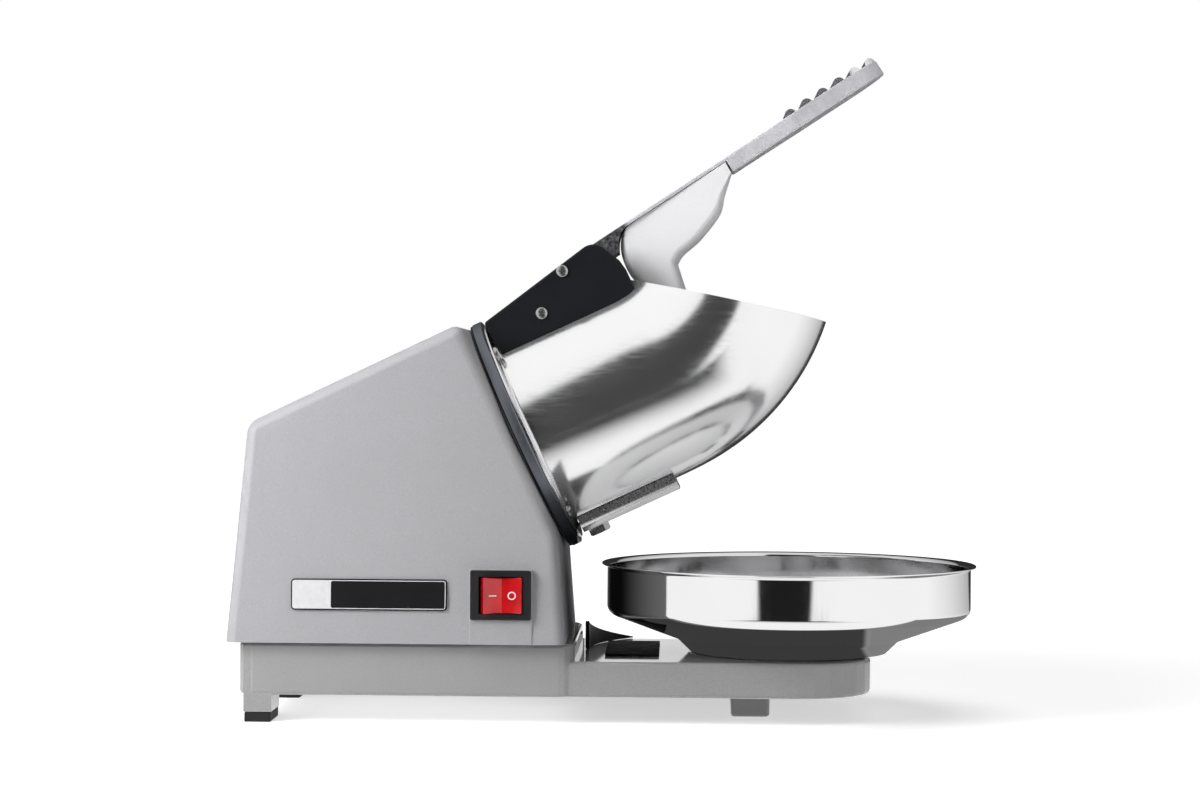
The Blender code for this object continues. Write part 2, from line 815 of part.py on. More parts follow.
def casing():
    body = slab("casing", casing_outline(), -1.0, 1.0, GROUND, "XZ")
    bm = bmesh.new()
    bm.from_mesh(body.data)
    bm.transform(body.matrix_basis)
    body.matrix_basis = Matrix.Identity(4)
    for vert in bm.verts:
        half = CASING_HALF_WIDTH - (vert.co.z - casing_bottom) * wall_slope()
        vert.co.y = math.copysign(half, vert.co.y)
    floor = [face for face in bm.faces if all(abs(v.co.z - casing_bottom) < 0.00001 for v in face.verts)]
    for face in floor:
        for vert in face.verts:
            vert.co.z -= OVERRUN
            vert.co.y += math.copysign(OVERRUN * wall_slope(), vert.co.y)
    bmesh.ops.delete(bm, geom=floor, context="FACES")
    bmesh.ops.recalc_face_normals(bm, faces=bm.faces)
    bm.to_mesh(body.data)
    bm.free()
    round_edges(body, CASING_EDGE, 3, 12.0)
    shell = body.modifiers.new("wall", "SOLIDIFY")
    shell.thickness = CASING_WALL
    shell.offset = -1.0
    shell.use_even_offset = True

    pad_outer = -CASING_HALF_WIDTH - PAD_PROUD
    pad_half = BEZEL_LENGTH / 2 + PAD_MARGIN
    pad = box(
        "switch_pad_form",
        (SWITCH_X - pad_half, pad_outer, casing_bottom - OVERRUN / 2),
        (SWITCH_X + pad_half, pad_outer + CASING_WALL * 2, switch_z() + BEZEL_HEIGHT / 2 + PAD_MARGIN),
        GROUND,
    )
    join(body, pad)
    for x, y in casing_bolt_places():
        half = CASING_LUG / 2
        outer = math.copysign(CASING_HALF_WIDTH - CASING_WALL / 2, y)
        inner = y - math.copysign(BOLT_RADIUS * 2, y)
        lug = box(
            "lug_form",
            (x - half, min(outer, inner), casing_bottom - OVERRUN / 2),
            (x + half, max(outer, inner), casing_bottom + CASING_LUG_HEIGHT),
            GROUND,
        )
        join(body, lug)
    trim = box(
        "casing_trim",
        (casing_back_x - OVERRUN, -CASING_HALF_WIDTH - OVERRUN, casing_bottom - OVERRUN * 2),
        (casing_front_x + OVERRUN, CASING_HALF_WIDTH + OVERRUN, casing_bottom),
        GROUND,
    )
    cut(body, trim)
    for x, y in casing_bolt_places():
        hole = rod(
            "lug_hole", BOLT_RADIUS + SCREW_CLEARANCE, casing_bottom - OVERRUN,
            casing_bottom + CASING_LUG_HEIGHT - CASING_WALL, GROUND, "Z", (x, y, 0.0), 12,
        )
        cut(body, hole)
    opening_half_length = SWITCH_BODY_LENGTH / 2 + GAP
    opening_half_height = SWITCH_BODY_HEIGHT / 2 + GAP
    opening = box(
        "switch_opening",
        (SWITCH_X - opening_half_length, pad_outer - OVERRUN, switch_z() - opening_half_height),
        (SWITCH_X + opening_half_length, pad_outer + OVERRUN, switch_z() + opening_half_height),
        GROUND,
    )
    shaft_hole = rod("shaft_hole", CASING_HOLE_RADIUS, -OVERRUN, OVERRUN, HEAD)
    cut(body, opening, shaft_hole)
    for hole in ring_screw_holes():
        cut(body, hole)
    finish(body, PAINT)


def casing_bolts():
    for number, (x, y) in enumerate(casing_bolt_places(), 1):
        length = CASTING_WALL + GAP + CASING_LUG_HEIGHT - CASING_WALL - GAP * 2
        screw(
            f"casing_bolt_{number}", BOLT_RADIUS, length, BOLT_HEAD_RADIUS, BOLT_HEAD_HEIGHT, GROUND, "Z",
            (x, y, deck_top - CASTING_WALL - GAP),
        )


def nameplate():
    wall = bpy.data.objects.new("near_wall", None)
    PARTS.objects.link(wall)
    wall.parent = GROUND
    wall.location = (0.0, -CASING_HALF_WIDTH, casing_bottom)
    wall.rotation_euler = (-math.radians(CASING_DRAFT_DEG), 0.0, 0.0)
    half = NAMEPLATE_LENGTH / 2
    outline = rectangle(
        (NAMEPLATE_X - half, NAMEPLATE_ABOVE - NAMEPLATE_HEIGHT / 2),
        (NAMEPLATE_X + half, NAMEPLATE_ABOVE + NAMEPLATE_HEIGHT / 2),
        NAMEPLATE_CORNER,
    )
    plate = slab("nameplate", outline, GAP, GAP + NAMEPLATE_THICKNESS, wall, "XZ")
    finish(plate, PLATE_BLACK)


# Switch

def switch_z():
    return casing_bottom + SWITCH_HEIGHT


def rocker_switch():
    face = -CASING_HALF_WIDTH - PAD_PROUD - GAP
    front = face - BEZEL_THICKNESS
    z = switch_z()
    housing = slab(
        "switch_housing",
        rectangle(
            (SWITCH_X - BEZEL_LENGTH / 2, z - BEZEL_HEIGHT / 2),
            (SWITCH_X + BEZEL_LENGTH / 2, z + BEZEL_HEIGHT / 2),
            GAP * 4,
        ),
        -face, -front, GROUND, "XZ",
    )
    round_edges(housing, GAP)
    body = box(
        "switch_body_form",
        (SWITCH_X - SWITCH_BODY_LENGTH / 2, face - BEZEL_THICKNESS / 2, z - SWITCH_BODY_HEIGHT / 2),
        (SWITCH_X + SWITCH_BODY_LENGTH / 2, face + SWITCH_BODY_DEPTH, z + SWITCH_BODY_HEIGHT / 2),
        GROUND,
    )
    join(housing, body)
    pocket = box(
        "switch_pocket",
        (SWITCH_X - POCKET_LENGTH / 2, front - OVERRUN, z - POCKET_HEIGHT / 2),
        (SWITCH_X + POCKET_LENGTH / 2, front + POCKET_DEPTH, z + POCKET_HEIGHT / 2),
        GROUND,
    )
    pin_y = front + ROCKER_PIN_DEPTH + BEZEL_THICKNESS
    pin_half = SWITCH_BODY_HEIGHT / 2
    pin_hole = rod(
        "pin_hole", ROCKER_PIN_RADIUS + GAP, z - pin_half - OVERRUN / 2, z + pin_half + OVERRUN / 2, GROUND,
        "Z", (SWITCH_X, pin_y, 0.0), 12,
    )
    cut(housing, pocket, pin_hole)
    finish(housing, BLACK_PLASTIC)

    pivot = bpy.data.objects.new("rocker_pivot", None)
    PARTS.objects.link(pivot)
    pivot.parent = GROUND
    pivot.location = (SWITCH_X, pin_y, z)
    pivot.rotation_euler = (0.0, 0.0, math.radians(ROCKER_TILT_DEG))
    reach = pin_y - front
    end = ROCKER_END
    outline = [
        (-end, -reach - ROCKER_PROUD),
        (0.0, -reach - ROCKER_VALLEY),
        (end, -reach - ROCKER_PROUD),
        (end + GAP * 2, -reach / 2),
        (end - GAP * 4, ROCKER_BACK),
        (-end + GAP * 4, ROCKER_BACK),
        (-end - GAP * 2, -reach / 2),
    ]
    half = POCKET_HEIGHT / 2 - GAP
    rocker = slab("rocker", outline, -half, half, pivot)
    round_edges(rocker, GAP * 2, 2, 30.0)
    stubs = rod("stub_form", ROCKER_PIN_RADIUS, -pin_half + GAP, pin_half - GAP, pivot, "Z", segments=12)
    join(rocker, stubs)
    finish(rocker, RED_PLASTIC)


# Mounting ring, gasket and their screws

def on_face(angle_deg, circle):
    """A point of the head's face: the angle runs from the top of the face towards the far side."""
    angle = math.radians(angle_deg)
    return 0.0, circle * math.sin(angle), circle * math.cos(angle)


def ring_screw_holes():
    radius = RING_SCREW_RADIUS + SCREW_CLEARANCE
    back = mount_plate_back - OVERRUN
    front = flange_face + OVERRUN
    return [
        rod("ring_screw_hole", radius, back, front, HEAD, "X", on_face(angle, RING_SCREW_CIRCLE), 12)
        for angle in RING_SCREW_ANGLES
    ]


def mounting_ring():
    gasket = ring(
        "ring_gasket", RING_RADIUS - GASKET_INSET, CASING_HOLE_RADIUS, gasket_at,
        gasket_at + GASKET_THICKNESS, HEAD,
    )
    cut(gasket, *ring_screw_holes())
    finish(gasket, RUBBER)
    face = ring_at + RING_THICKNESS
    profile = [
        (RING_RADIUS - RING_EDGE, face),
        (RING_RADIUS, face - RING_EDGE),
        (RING_RADIUS, ring_at),
        (SEAL_SEAT_RADIUS, ring_at),
        (SEAL_SEAT_RADIUS, face),
    ]
    plate = turned("mounting_ring", profile, HEAD, closed=True)
    cut(plate, *ring_screw_holes())
    finish(plate, RING_METAL)
    seal = ring(
        "shaft_seal", SEAL_SEAT_RADIUS - GAP, SHAFT_RADIUS + GAP, ring_at + GAP, face - GAP, HEAD,
        steps=INNER_STEPS,
    )
    finish(seal, RUBBER)
    length = flange_face + GAP - mount_plate_back
    for number, angle in enumerate(RING_SCREW_ANGLES, 1):
        x, y, z = on_face(angle, RING_SCREW_CIRCLE)
        screw(
            f"ring_screw_{number}", RING_SCREW_RADIUS, length, RING_HEAD_RADIUS, RING_HEAD_HEIGHT, HEAD, "X",
            (flange_face + GAP, y, z), tip=-1,
        )


# Barrel

def elbow_points():
    """The barrel's centre line: straight, then bent upwards, some way past the mouth."""
    last_deg = MOUTH_TURN_DEG + 2 * BEND_STEP_DEG
    count = math.ceil(last_deg / BEND_STEP_DEG)
    centre = (BARREL_STRAIGHT, BEND_RADIUS)
    return [(flange_at + GAP, 0.0), *arc(centre, BEND_RADIUS, -90.0, -90.0 + count * BEND_STEP_DEG, count)]


def elbow(name, radius, capped):
    curve = bpy.data.curves.new(name, "CURVE")
    curve.dimensions = "3D"
    curve.bevel_depth = radius
    curve.bevel_resolution = BARREL_SIDES // 2 - 2
    curve.use_fill_caps = capped
    spline = curve.splines.new("POLY")
    points = elbow_points()
    spline.points.add(len(points) - 1)
    for point, (x, z) in zip(spline.points, points):
        point.co = (x, 0.0, z, 1.0)
    obj = bpy.data.objects.new(name, curve)
    PARTS.objects.link(obj)
    obj.parent = HEAD
    return as_mesh(obj)


def mouth_tip():
    turn = math.radians(MOUTH_TURN_DEG)
    reach = BEND_RADIUS + BARREL_RADIUS
    return BARREL_STRAIGHT + reach * math.sin(turn), BEND_RADIUS - reach * math.cos(turn)


def barrel():
    shell = elbow("barrel", BARREL_RADIUS, False)
    slope = math.radians(MOUTH_SLOPE_DEG)
    tip = mouth_tip()
    bm = bmesh.new()
    bm.from_mesh(shell.data)
    bmesh.ops.bisect_plane(
        bm, geom=bm.verts[:] + bm.edges[:] + bm.faces[:], plane_co=(tip[0], 0.0, tip[1]),
        plane_no=(math.sin(slope), 0.0, math.cos(slope)), clear_outer=True,
    )
    bm.normal_update()
    outward = sum(face.normal.dot(face.calc_center_median() * Vector((0, 1, 1))) for face in bm.faces)
    if outward < 0:
        bmesh.ops.reverse_faces(bm, faces=bm.faces)
    bm.to_mesh(shell.data)
    bm.free()
    wall = shell.modifiers.new("wall", "SOLIDIFY")
    wall.thickness = BARREL_WALL
    wall.offset = -1.0
    wall.use_even_offset = True
    flange = ring(
        "flange_form", FLANGE_RADIUS, BARREL_RADIUS - BARREL_WALL / 2, flange_at, flange_face, HEAD,
        steps=BARREL_SIDES,
    )
    join(shell, flange)
    slot = box(
        "drop_slot",
        (SPOUT_FOOT_END + DROP_SLOT_MARGIN, -DROP_SLOT_HALF_WIDTH, -BARREL_RADIUS - OVERRUN),
        (CHAMBER_END - DROP_SLOT_MARGIN, DROP_SLOT_HALF_WIDTH, -BARREL_RADIUS / 2),
        HEAD,
    )
    notch = box(
        "lever_notch",
        (NOTCH_START, -HUB_HALF_WIDTH - SLOT_CLEARANCE, BARREL_RADIUS / 2),
        (BRACKET_END + OVERRUN, HUB_HALF_WIDTH + SLOT_CLEARANCE, BARREL_RADIUS + OVERRUN),
        HEAD,
    )
    cut(shell, slot, notch, spout_bolt_hole())
    cut(shell, *ring_screw_holes())
    finish(shell, STAINLESS)


# Discharge spout

def spout_bolt_hole():
    return rod(
        "spout_bolt_hole", SPOUT_BOLT_RADIUS + GAP, -BARREL_RADIUS - SPOUT_DROP - OVERRUN,
        -BARREL_RADIUS + OVERRUN, HEAD, "Z", (SPOUT_BOLT_AT, 0.0, 0.0), 16,
    )


def spout_section(inset):
    low = -BARREL_RADIUS - SPOUT_DROP + inset
    side = SPOUT_HALF_WIDTH - inset
    corner = SPOUT_CORNER - inset
    top = -BARREL_RADIUS / 2
    return rounded([(-side, low, corner), (side, low, corner), (side, top, 0.0), (-side, top, 0.0)], 3)


def discharge_spout():
    spout = slab("discharge_spout", spout_section(0.0), SPOUT_START, SPOUT_END, HEAD, "YZ")
    channel = slab("channel_form", spout_section(SPOUT_WALL), SPOUT_FOOT_END, SPOUT_END + OVERRUN, HEAD, "YZ")
    around = rod("barrel_around", BARREL_RADIUS + GAP, 0.0, BARREL_STRAIGHT, HEAD, segments=BARREL_SIDES * 2)
    cut(spout, channel, around, spout_bolt_hole())
    finish(spout, STAINLESS)

    low = -BARREL_RADIUS - SPOUT_DROP - GAP
    nut_top = -BARREL_RADIUS + BARREL_WALL + GAP * 2 + SPOUT_HEX_HEIGHT
    at = (SPOUT_BOLT_AT, 0.0, 0.0)
    bolt = rod("spout_bolt", SPOUT_BOLT_RADIUS, low - GAP, nut_top + GAP, HEAD, "Z", at, 16)
    head = hexagon("spout_bolt_head", SPOUT_HEX_ACROSS, low - SPOUT_HEX_HEIGHT, low, HEAD, "Z", at)
    round_edges(head, GAP, 1)
    join(bolt, head)
    finish(bolt, FASTENER)
    nut = hexagon("spout_nut", SPOUT_HEX_ACROSS, nut_top - SPOUT_HEX_HEIGHT, nut_top, HEAD, "Z", at)
    bore = rod("nut_bore", SPOUT_BOLT_RADIUS + GAP, nut_top - OVERRUN, nut_top + OVERRUN, HEAD, "Z", at, 16)
    cut(nut, bore)
    finish(nut, FASTENER, False)


# Cutter: disc, blades and nut turn with the motor's shaft

def cutter():
    disc_front = CHAMBER_END + DISC_THICKNESS
    bore = SHAFT_RADIUS + GAP
    hub_back = ring_at + RING_THICKNESS + GAP * 5
    profile = [
        (disc_radius, disc_front),
        (disc_radius, CHAMBER_END),
        (DISC_HUB_RADIUS, CHAMBER_END),
        (DISC_HUB_RADIUS, hub_back),
        (bore, hub_back),
        (bore, disc_front),
    ]
    disc = turned("cutter_disc", profile, ROTOR, closed=True)
    for side in (-1, 1):
        inner = side * (DISC_HUB_RADIUS - GAP * 5)
        outer = side * (disc_radius - DISC_THICKNESS)
        vane = box(
            "vane_form",
            (CHAMBER_END - VANE_HEIGHT, -VANE_THICKNESS / 2, min(inner, outer)),
            (CHAMBER_END + DISC_THICKNESS / 2, VANE_THICKNESS / 2, max(inner, outer)),
            ROTOR,
        )
        join(disc, vane)
    for number, side in ((1, -1), (2, 1)):
        middle = side * blade_out
        near_edge = side * BLADE_WIDTH / 2
        far_edge = near_edge + side * ICE_SLOT_WIDTH
        half = BLADE_LENGTH / 2 - GAP
        ice_slot = box(
            "ice_slot",
            (CHAMBER_END - OVERRUN / 2, middle - half, min(near_edge, far_edge)),
            (disc_front + OVERRUN, middle + half, max(near_edge, far_edge)),
            ROTOR,
        )
        cut(disc, ice_slot)
        low = disc_front + GAP
        outline = [
            (-BLADE_WIDTH / 2 * side, low),
            (BLADE_WIDTH / 2 * side, low),
            ((BLADE_WIDTH / 2 + BLADE_THICKNESS) * side, low + BLADE_THICKNESS),
            (-BLADE_WIDTH / 2 * side, low + BLADE_THICKNESS),
        ]
        turned_outline = [(height, across) for across, height in outline]
        blade = slab(
            f"blade_{number}", turned_outline, -BLADE_LENGTH / 2, BLADE_LENGTH / 2, ROTOR, "XZ",
            (0.0, middle, 0.0),
        )
        for place, along in enumerate((-BLADE_SCREW_SPACING / 2, BLADE_SCREW_SPACING / 2), 1):
            at = (low + BLADE_THICKNESS + GAP, middle + along, 0.0)
            for obj in (blade, disc):
                hole = rod(
                    "blade_hole", SMALL_SCREW_RADIUS + SCREW_CLEARANCE, CHAMBER_END - OVERRUN / 2,
                    low + OVERRUN, ROTOR, "X", (0.0, at[1], 0.0), 12,
                )
                cut(obj, hole)
            length = BLADE_THICKNESS + DISC_THICKNESS + GAP
            screw(
                f"blade_{number}_screw_{place}", SMALL_SCREW_RADIUS, length, SMALL_HEAD_RADIUS,
                SMALL_HEAD_HEIGHT, ROTOR, "X", at, tip=-1,
            )
        finish(blade, STEEL, False)
    finish(disc, STAINLESS)

    nut_front = disc_front + GAP + NUT_HEIGHT
    nut = hexagon("disc_nut", NUT_ACROSS, disc_front + GAP, nut_front, ROTOR, "X")
    nut_bore = rod("disc_nut_bore", SHAFT_END_RADIUS + GAP, disc_front - OVERRUN, nut_front + OVERRUN, ROTOR)
    cut(nut, nut_bore)
    finish(nut, FASTENER, False)


# Motor

def tie_bolt_places():
    return [on_face(angle, TIE_CIRCLE) for angle in (90.0, -90.0)]


def tie_holes():
    radius = BOLT_RADIUS + SCREW_CLEARANCE
    back = rear_bell_back - OVERRUN
    front = mount_plate_front + OVERRUN
    return [rod("tie_hole", radius, back, front, HEAD, "X", at, 12) for at in tie_bolt_places()]


def mount_plate():
    outline = rectangle(
        (-MOUNT_PLATE_HALF_WIDTH, -MOUNT_PLATE_DOWN), (MOUNT_PLATE_HALF_WIDTH, MOUNT_PLATE_UP), OVERRUN
    )
    plate = slab("motor_mount_plate", outline, mount_plate_back, mount_plate_front, HEAD, "YZ")
    hole = rod("plate_hole", CASING_HOLE_RADIUS, mount_plate_back - OVERRUN, OVERRUN, HEAD)
    cut(plate, hole, *ring_screw_holes())
    cut(plate, *tie_holes())
    finish(plate, STEEL)


def bell(name, plate_face, open_face, way):
    """An end shield: way is +1 where its open side looks to the front, -1 where it looks to the back."""
    inner_face = plate_face + way * BELL_PLATE
    boss_end = plate_face + way * (GAP * 8 + BEARING_WIDTH)
    lip_face = plate_face + way * (GAP * 7)
    profile = [
        (MOTOR_RADIUS, plate_face),
        (MOTOR_RADIUS, open_face),
        (bell_bore, open_face),
        (bell_bore, inner_face),
        (BOSS_RADIUS, inner_face),
        (BOSS_RADIUS, boss_end),
        (BEARING_RADIUS + GAP, boss_end),
        (BEARING_RADIUS + GAP, lip_face),
        (BEARING_LIP, lip_face),
        (BEARING_LIP, plate_face),
    ]
    if way > 0:
        profile.reverse()
    shield = turned(name, profile, HEAD, steps=INNER_STEPS, closed=True)
    cut(shield, *tie_holes())
    finish(shield, BARE_ALUMINIUM)
    start = lip_face + way * GAP
    end = start + way * BEARING_WIDTH
    return min(start, end), max(start, end)


def motor():
    mount_plate()
    bearings = {
        "front_bearing": bell("motor_front_bell", front_bell_face, stator_front + GAP, -1),
        "rear_bearing": bell("motor_rear_bell", rear_bell_back, rear_bell_front, 1),
    }
    for name, (start, end) in bearings.items():
        bearing = ring(name, BEARING_RADIUS, SHAFT_RADIUS + GAP, start, end, HEAD, steps=INNER_STEPS)
        finish(bearing, STEEL)
    core_bore = STATOR_BORE_RADIUS + WINDING_THICKNESS + GAP
    stator = ring("stator_core", MOTOR_RADIUS, core_bore, stator_back, stator_front, HEAD, steps=INNER_STEPS)
    cut(stator, *tie_holes())
    finish(stator, LAMINATION)
    head_outer = bell_bore - WINDING_CLEARANCE
    front = stator_front + GAP
    back = stator_back - GAP
    soft = WINDING_HEAD / 4
    profile = [
        (head_outer - soft, front + WINDING_HEAD),
        (head_outer, front + WINDING_HEAD - soft),
        (head_outer, front),
        (STATOR_BORE_RADIUS + WINDING_THICKNESS, front),
        (STATOR_BORE_RADIUS + WINDING_THICKNESS, back),
        (head_outer, back),
        (head_outer, back - WINDING_HEAD + soft),
        (head_outer - soft, back - WINDING_HEAD),
        (STATOR_BORE_RADIUS, back - WINDING_HEAD),
        (STATOR_BORE_RADIUS, front + WINDING_HEAD),
    ]
    finish(turned("stator_winding", profile, HEAD, steps=INNER_STEPS, closed=True), COPPER)
    rotor_core = ring(
        "rotor_core", STATOR_BORE_RADIUS - AIR_GAP, SHAFT_RADIUS + GAP, stator_back, stator_front, ROTOR,
        steps=INNER_STEPS,
    )
    finish(rotor_core, LAMINATION)
    shaft_back = rear_bell_back + GAP * 4
    shoulder = CHAMBER_END + DISC_THICKNESS - GAP
    shaft_end = CHAMBER_END + DISC_THICKNESS + NUT_HEIGHT + GAP * 3
    profile = [
        (0.0, shaft_end),
        (SHAFT_END_RADIUS, shaft_end),
        (SHAFT_END_RADIUS, shoulder),
        (SHAFT_RADIUS, shoulder),
        (SHAFT_RADIUS, shaft_back),
        (0.0, shaft_back),
    ]
    finish(turned("motor_shaft", profile, ROTOR, steps=INNER_STEPS), STEEL)
    fan_back = rear_bell_back + GAP * 8 + BEARING_WIDTH + FAN_CLEARANCE
    outline = []
    for blade in range(FAN_BLADES):
        middle = 360.0 * blade / FAN_BLADES
        outline += arc((0.0, 0.0), FAN_RADIUS, middle - 12.0, middle + 12.0, 2)
        outline += arc((0.0, 0.0), FAN_RADIUS / 2, middle + 20.0, middle + 25.0, 1)
    fan = slab("cooling_fan", outline, fan_back, fan_back + FAN_HEIGHT, ROTOR, "YZ")
    fan_bore = rod("fan_bore", SHAFT_RADIUS + GAP, fan_back - OVERRUN, fan_back + OVERRUN * 2, ROTOR)
    cut(fan, fan_bore)
    finish(fan, BLACK_PLASTIC)
    length = mount_plate_front - GAP - (rear_bell_back - GAP)
    for number, (x, y, z) in enumerate(tie_bolt_places(), 1):
        screw(
            f"tie_bolt_{number}", BOLT_RADIUS, length, BOLT_HEAD_RADIUS, BOLT_HEAD_HEIGHT, HEAD, "X",
            (rear_bell_back - GAP, y, z), tip=1,
        )


# Bracket, lug and pivot on top of the barrel

def bracket_outline():
    top_back = BARREL_RADIUS + BRACKET_BACK_RISE
    top_front = BARREL_RADIUS + BRACKET_FRONT_RISE
    low = BARREL_RADIUS / 2
    lean = GAP * 4
    return rounded([
        (BRACKET_START, low, 0.0),
        (BRACKET_END, low, 0.0),
        (BRACKET_END, BARREL_RADIUS + lean, 0.0),
        (BRACKET_END - lean, BARREL_RADIUS + PIVOT_ABOVE_BARREL / 2, BRACKET_SHOULDER / 2),
        (BRACKET_END - BRACKET_SHOULDER, top_front, BRACKET_SHOULDER / 2),
        (BRACKET_START, top_back, GAP * 5),
    ])


def hinge_bracket():
    bracket = slab(
        "hinge_bracket", bracket_outline(), -BRACKET_HALF_WIDTH, BRACKET_HALF_WIDTH, HEAD, "XZ"
    )
    round_edges(bracket, BRACKET_EDGE)
    slot_half = HUB_HALF_WIDTH + SLOT_CLEARANCE
    slot = box(
        "lever_slot",
        (BRACKET_WEB_END, -slot_half, 0.0),
        (BRACKET_END + OVERRUN, slot_half, pivot_up + OVERRUN * 2),
        HEAD,
    )
    pocket = box(
        "lug_pocket",
        (LUG_START - GAP, -LUG_HALF_WIDTH - GAP, 0.0),
        (LUG_END + GAP, LUG_HALF_WIDTH + GAP, BARREL_RADIUS + LUG_HEIGHT + GAP),
        HEAD,
    )
    cut(bracket, slot, pocket, elbow("elbow_around_bracket", BARREL_RADIUS + GAP, True))
    pin_hole = rod(
        "pivot_hole", PIVOT_PIN_RADIUS + GAP, -BRACKET_HALF_WIDTH - OVERRUN, BRACKET_HALF_WIDTH + OVERRUN,
        HEAD, "Y", (PIVOT_ALONG, 0.0, pivot_up), 16,
    )
    lug_hole = rod(
        "lug_screw_hole", SMALL_SCREW_RADIUS + SCREW_CLEARANCE, -BRACKET_HALF_WIDTH - OVERRUN,
        BRACKET_HALF_WIDTH + OVERRUN, HEAD, "Y", (LUG_SCREW_ALONG, 0.0, lug_screw_up()), 12,
    )
    cut(bracket, pin_hole, lug_hole)
    finish(bracket, BLACK_PLASTIC)

    lug = box(
        "bracket_lug",
        (LUG_START, -LUG_HALF_WIDTH, BARREL_RADIUS / 2),
        (LUG_END, LUG_HALF_WIDTH, BARREL_RADIUS + LUG_HEIGHT),
        HEAD,
    )
    cut(lug, elbow("elbow_around_lug", BARREL_RADIUS + GAP, True))
    for side in (-1, 1):
        near = BRACKET_HALF_WIDTH - LUG_SCREW_LENGTH
        start = min(side * near, side * (LUG_HALF_WIDTH + OVERRUN))
        end = max(side * near, side * (LUG_HALF_WIDTH + OVERRUN))
        hole = rod(
            "lug_thread", SMALL_SCREW_RADIUS + SCREW_CLEARANCE, start, end, HEAD, "Y",
            (LUG_SCREW_ALONG, 0.0, lug_screw_up()), 12,
        )
        cut(lug, hole)
    finish(lug, STEEL, False)

    for side, place in ((-1, "near"), (1, "far")):
        face = side * (BRACKET_HALF_WIDTH + GAP)
        screw(
            f"bracket_screw_{place}", SMALL_SCREW_RADIUS, LUG_SCREW_LENGTH, SMALL_HEAD_RADIUS,
            SMALL_HEAD_HEIGHT, HEAD, "Y", (LUG_SCREW_ALONG, face, lug_screw_up()), tip=-side,
        )
    pin = rod(
        "pivot_pin", PIVOT_PIN_RADIUS, -BRACKET_HALF_WIDTH, BRACKET_HALF_WIDTH + GAP * 2, HEAD, "Y",
        (PIVOT_ALONG, 0.0, pivot_up), 16,
    )
    face = BRACKET_HALF_WIDTH + GAP
    pin_head = rod(
        "pin_head_form", SMALL_HEAD_RADIUS, face, face + SMALL_HEAD_HEIGHT, HEAD, "Y",
        (PIVOT_ALONG, 0.0, pivot_up), 16,
    )
    join(pin, pin_head)
    thread = rod(
        "pin_thread", SMALL_SCREW_RADIUS + GAP, -face - OVERRUN, -face + OVERRUN + GAP, HEAD, "Y",
        (PIVOT_ALONG, 0.0, pivot_up), 16,
    )
    cut(pin, thread)
    finish(pin, STEEL)
    screw(
        "pivot_screw", SMALL_SCREW_RADIUS, OVERRUN, SMALL_HEAD_RADIUS, SMALL_HEAD_HEIGHT,
        HEAD, "Y", (PIVOT_ALONG, -face, pivot_up), tip=1,
    )


def lug_screw_up():
    """The screw passes just above the barrel where it leaves the lug."""
    at = BRACKET_HALF_WIDTH + GAP - LUG_SCREW_LENGTH
    surface = math.sqrt((BARREL_RADIUS + GAP) ** 2 - at ** 2)
    return surface + SMALL_SCREW_RADIUS + SCREW_CLEARANCE + GAP * 2


# Lever arm and presser

def root_curve(lowest, back, top, steps):
    """The hollow curve from the neck's back up to the arm's skin, from the height lowest on.

    It is moved back by the amount back, and ends at the height top.
    """
    first = math.asin((NECK_DROP + lowest) / (NECK_DROP + top))
    points = []
    for step in range(steps + 1):
        turn = first + (math.pi / 2 - first) * step / steps
        x = ROOT_LENGTH - (ROOT_LENGTH - NECK_BACK) * math.cos(turn) - back
        points.append((x, -NECK_DROP + (NECK_DROP + top) * math.sin(turn)))
    return points


def arm_outline():
    top = ARM_TOP
    skin = top - SKIN_THICKNESS
    hub_turn = math.degrees(math.asin(top / HUB_RADIUS))
    points = arc((0.0, 0.0), HUB_RADIUS, hub_turn, 270.0, 10)
    points += root_curve(-HUB_RADIUS, ROOT_CLEARANCE, skin, 5)
    points += [(GRIP_START, skin), (GRIP_START, -ARM_BOTTOM)]
    points += rounded([
        (GRIP_START, -ARM_BOTTOM, 0.0),
        (ARM_REACH, -ARM_BOTTOM, ARM_BOTTOM / 3),
        (ARM_REACH, top, ARM_BOTTOM / 3),
        (GRIP_START, top, 0.0),
    ], 2)[1:-1]
    first = ARM_REACH - RIDGE_FROM_TIP
    for ridge in range(RIDGE_COUNT):
        points += arc((first - ridge * RIDGE_PITCH, top), RIDGE_RADIUS, 0.0, 180.0, 6)
    return points


def arm_plan():
    side = [
        (-HUB_RADIUS - OVERRUN, HUB_HALF_WIDTH),
        (ROOT_LENGTH, HUB_HALF_WIDTH),
        *through([
            (ROOT_LENGTH + OVERRUN, HUB_HALF_WIDTH),
            (GRIP_START - OVERRUN, WAIST_HALF_WIDTH),
            (GRIP_START + OVERRUN, WAIST_HALF_WIDTH),
            (ARM_REACH - GRIP_HALF_WIDTH * 3, GRIP_HALF_WIDTH),
        ], 4),
    ]
    side += arc((ARM_REACH - GRIP_HALF_WIDTH, 0.0), GRIP_HALF_WIDTH + GAP, 90.0, 0.0, 8)
    return [*side, *[(x, -y) for x, y in reversed(side[:-1])]]


def plate_centre():
    """Middle of the presser plate's pressing face in the lever's axes, worked out at full press."""
    along = blade_face + SMALL_HEAD_HEIGHT + PLATE_TO_BLADES - PIVOT_ALONG
    up = -PLATE_BELOW_AXIS - pivot_up
    centre = Vector((along, up))
    centre.rotate(Matrix.Rotation(plate_turn(), 2))
    return centre


def plate_turn():
    """How far the pressing face's normal leans from the arm's own axis."""
    return math.radians(HEAD_TILT_DEG + LEVER_PRESS_DEG - LEVER_REST_DEG)


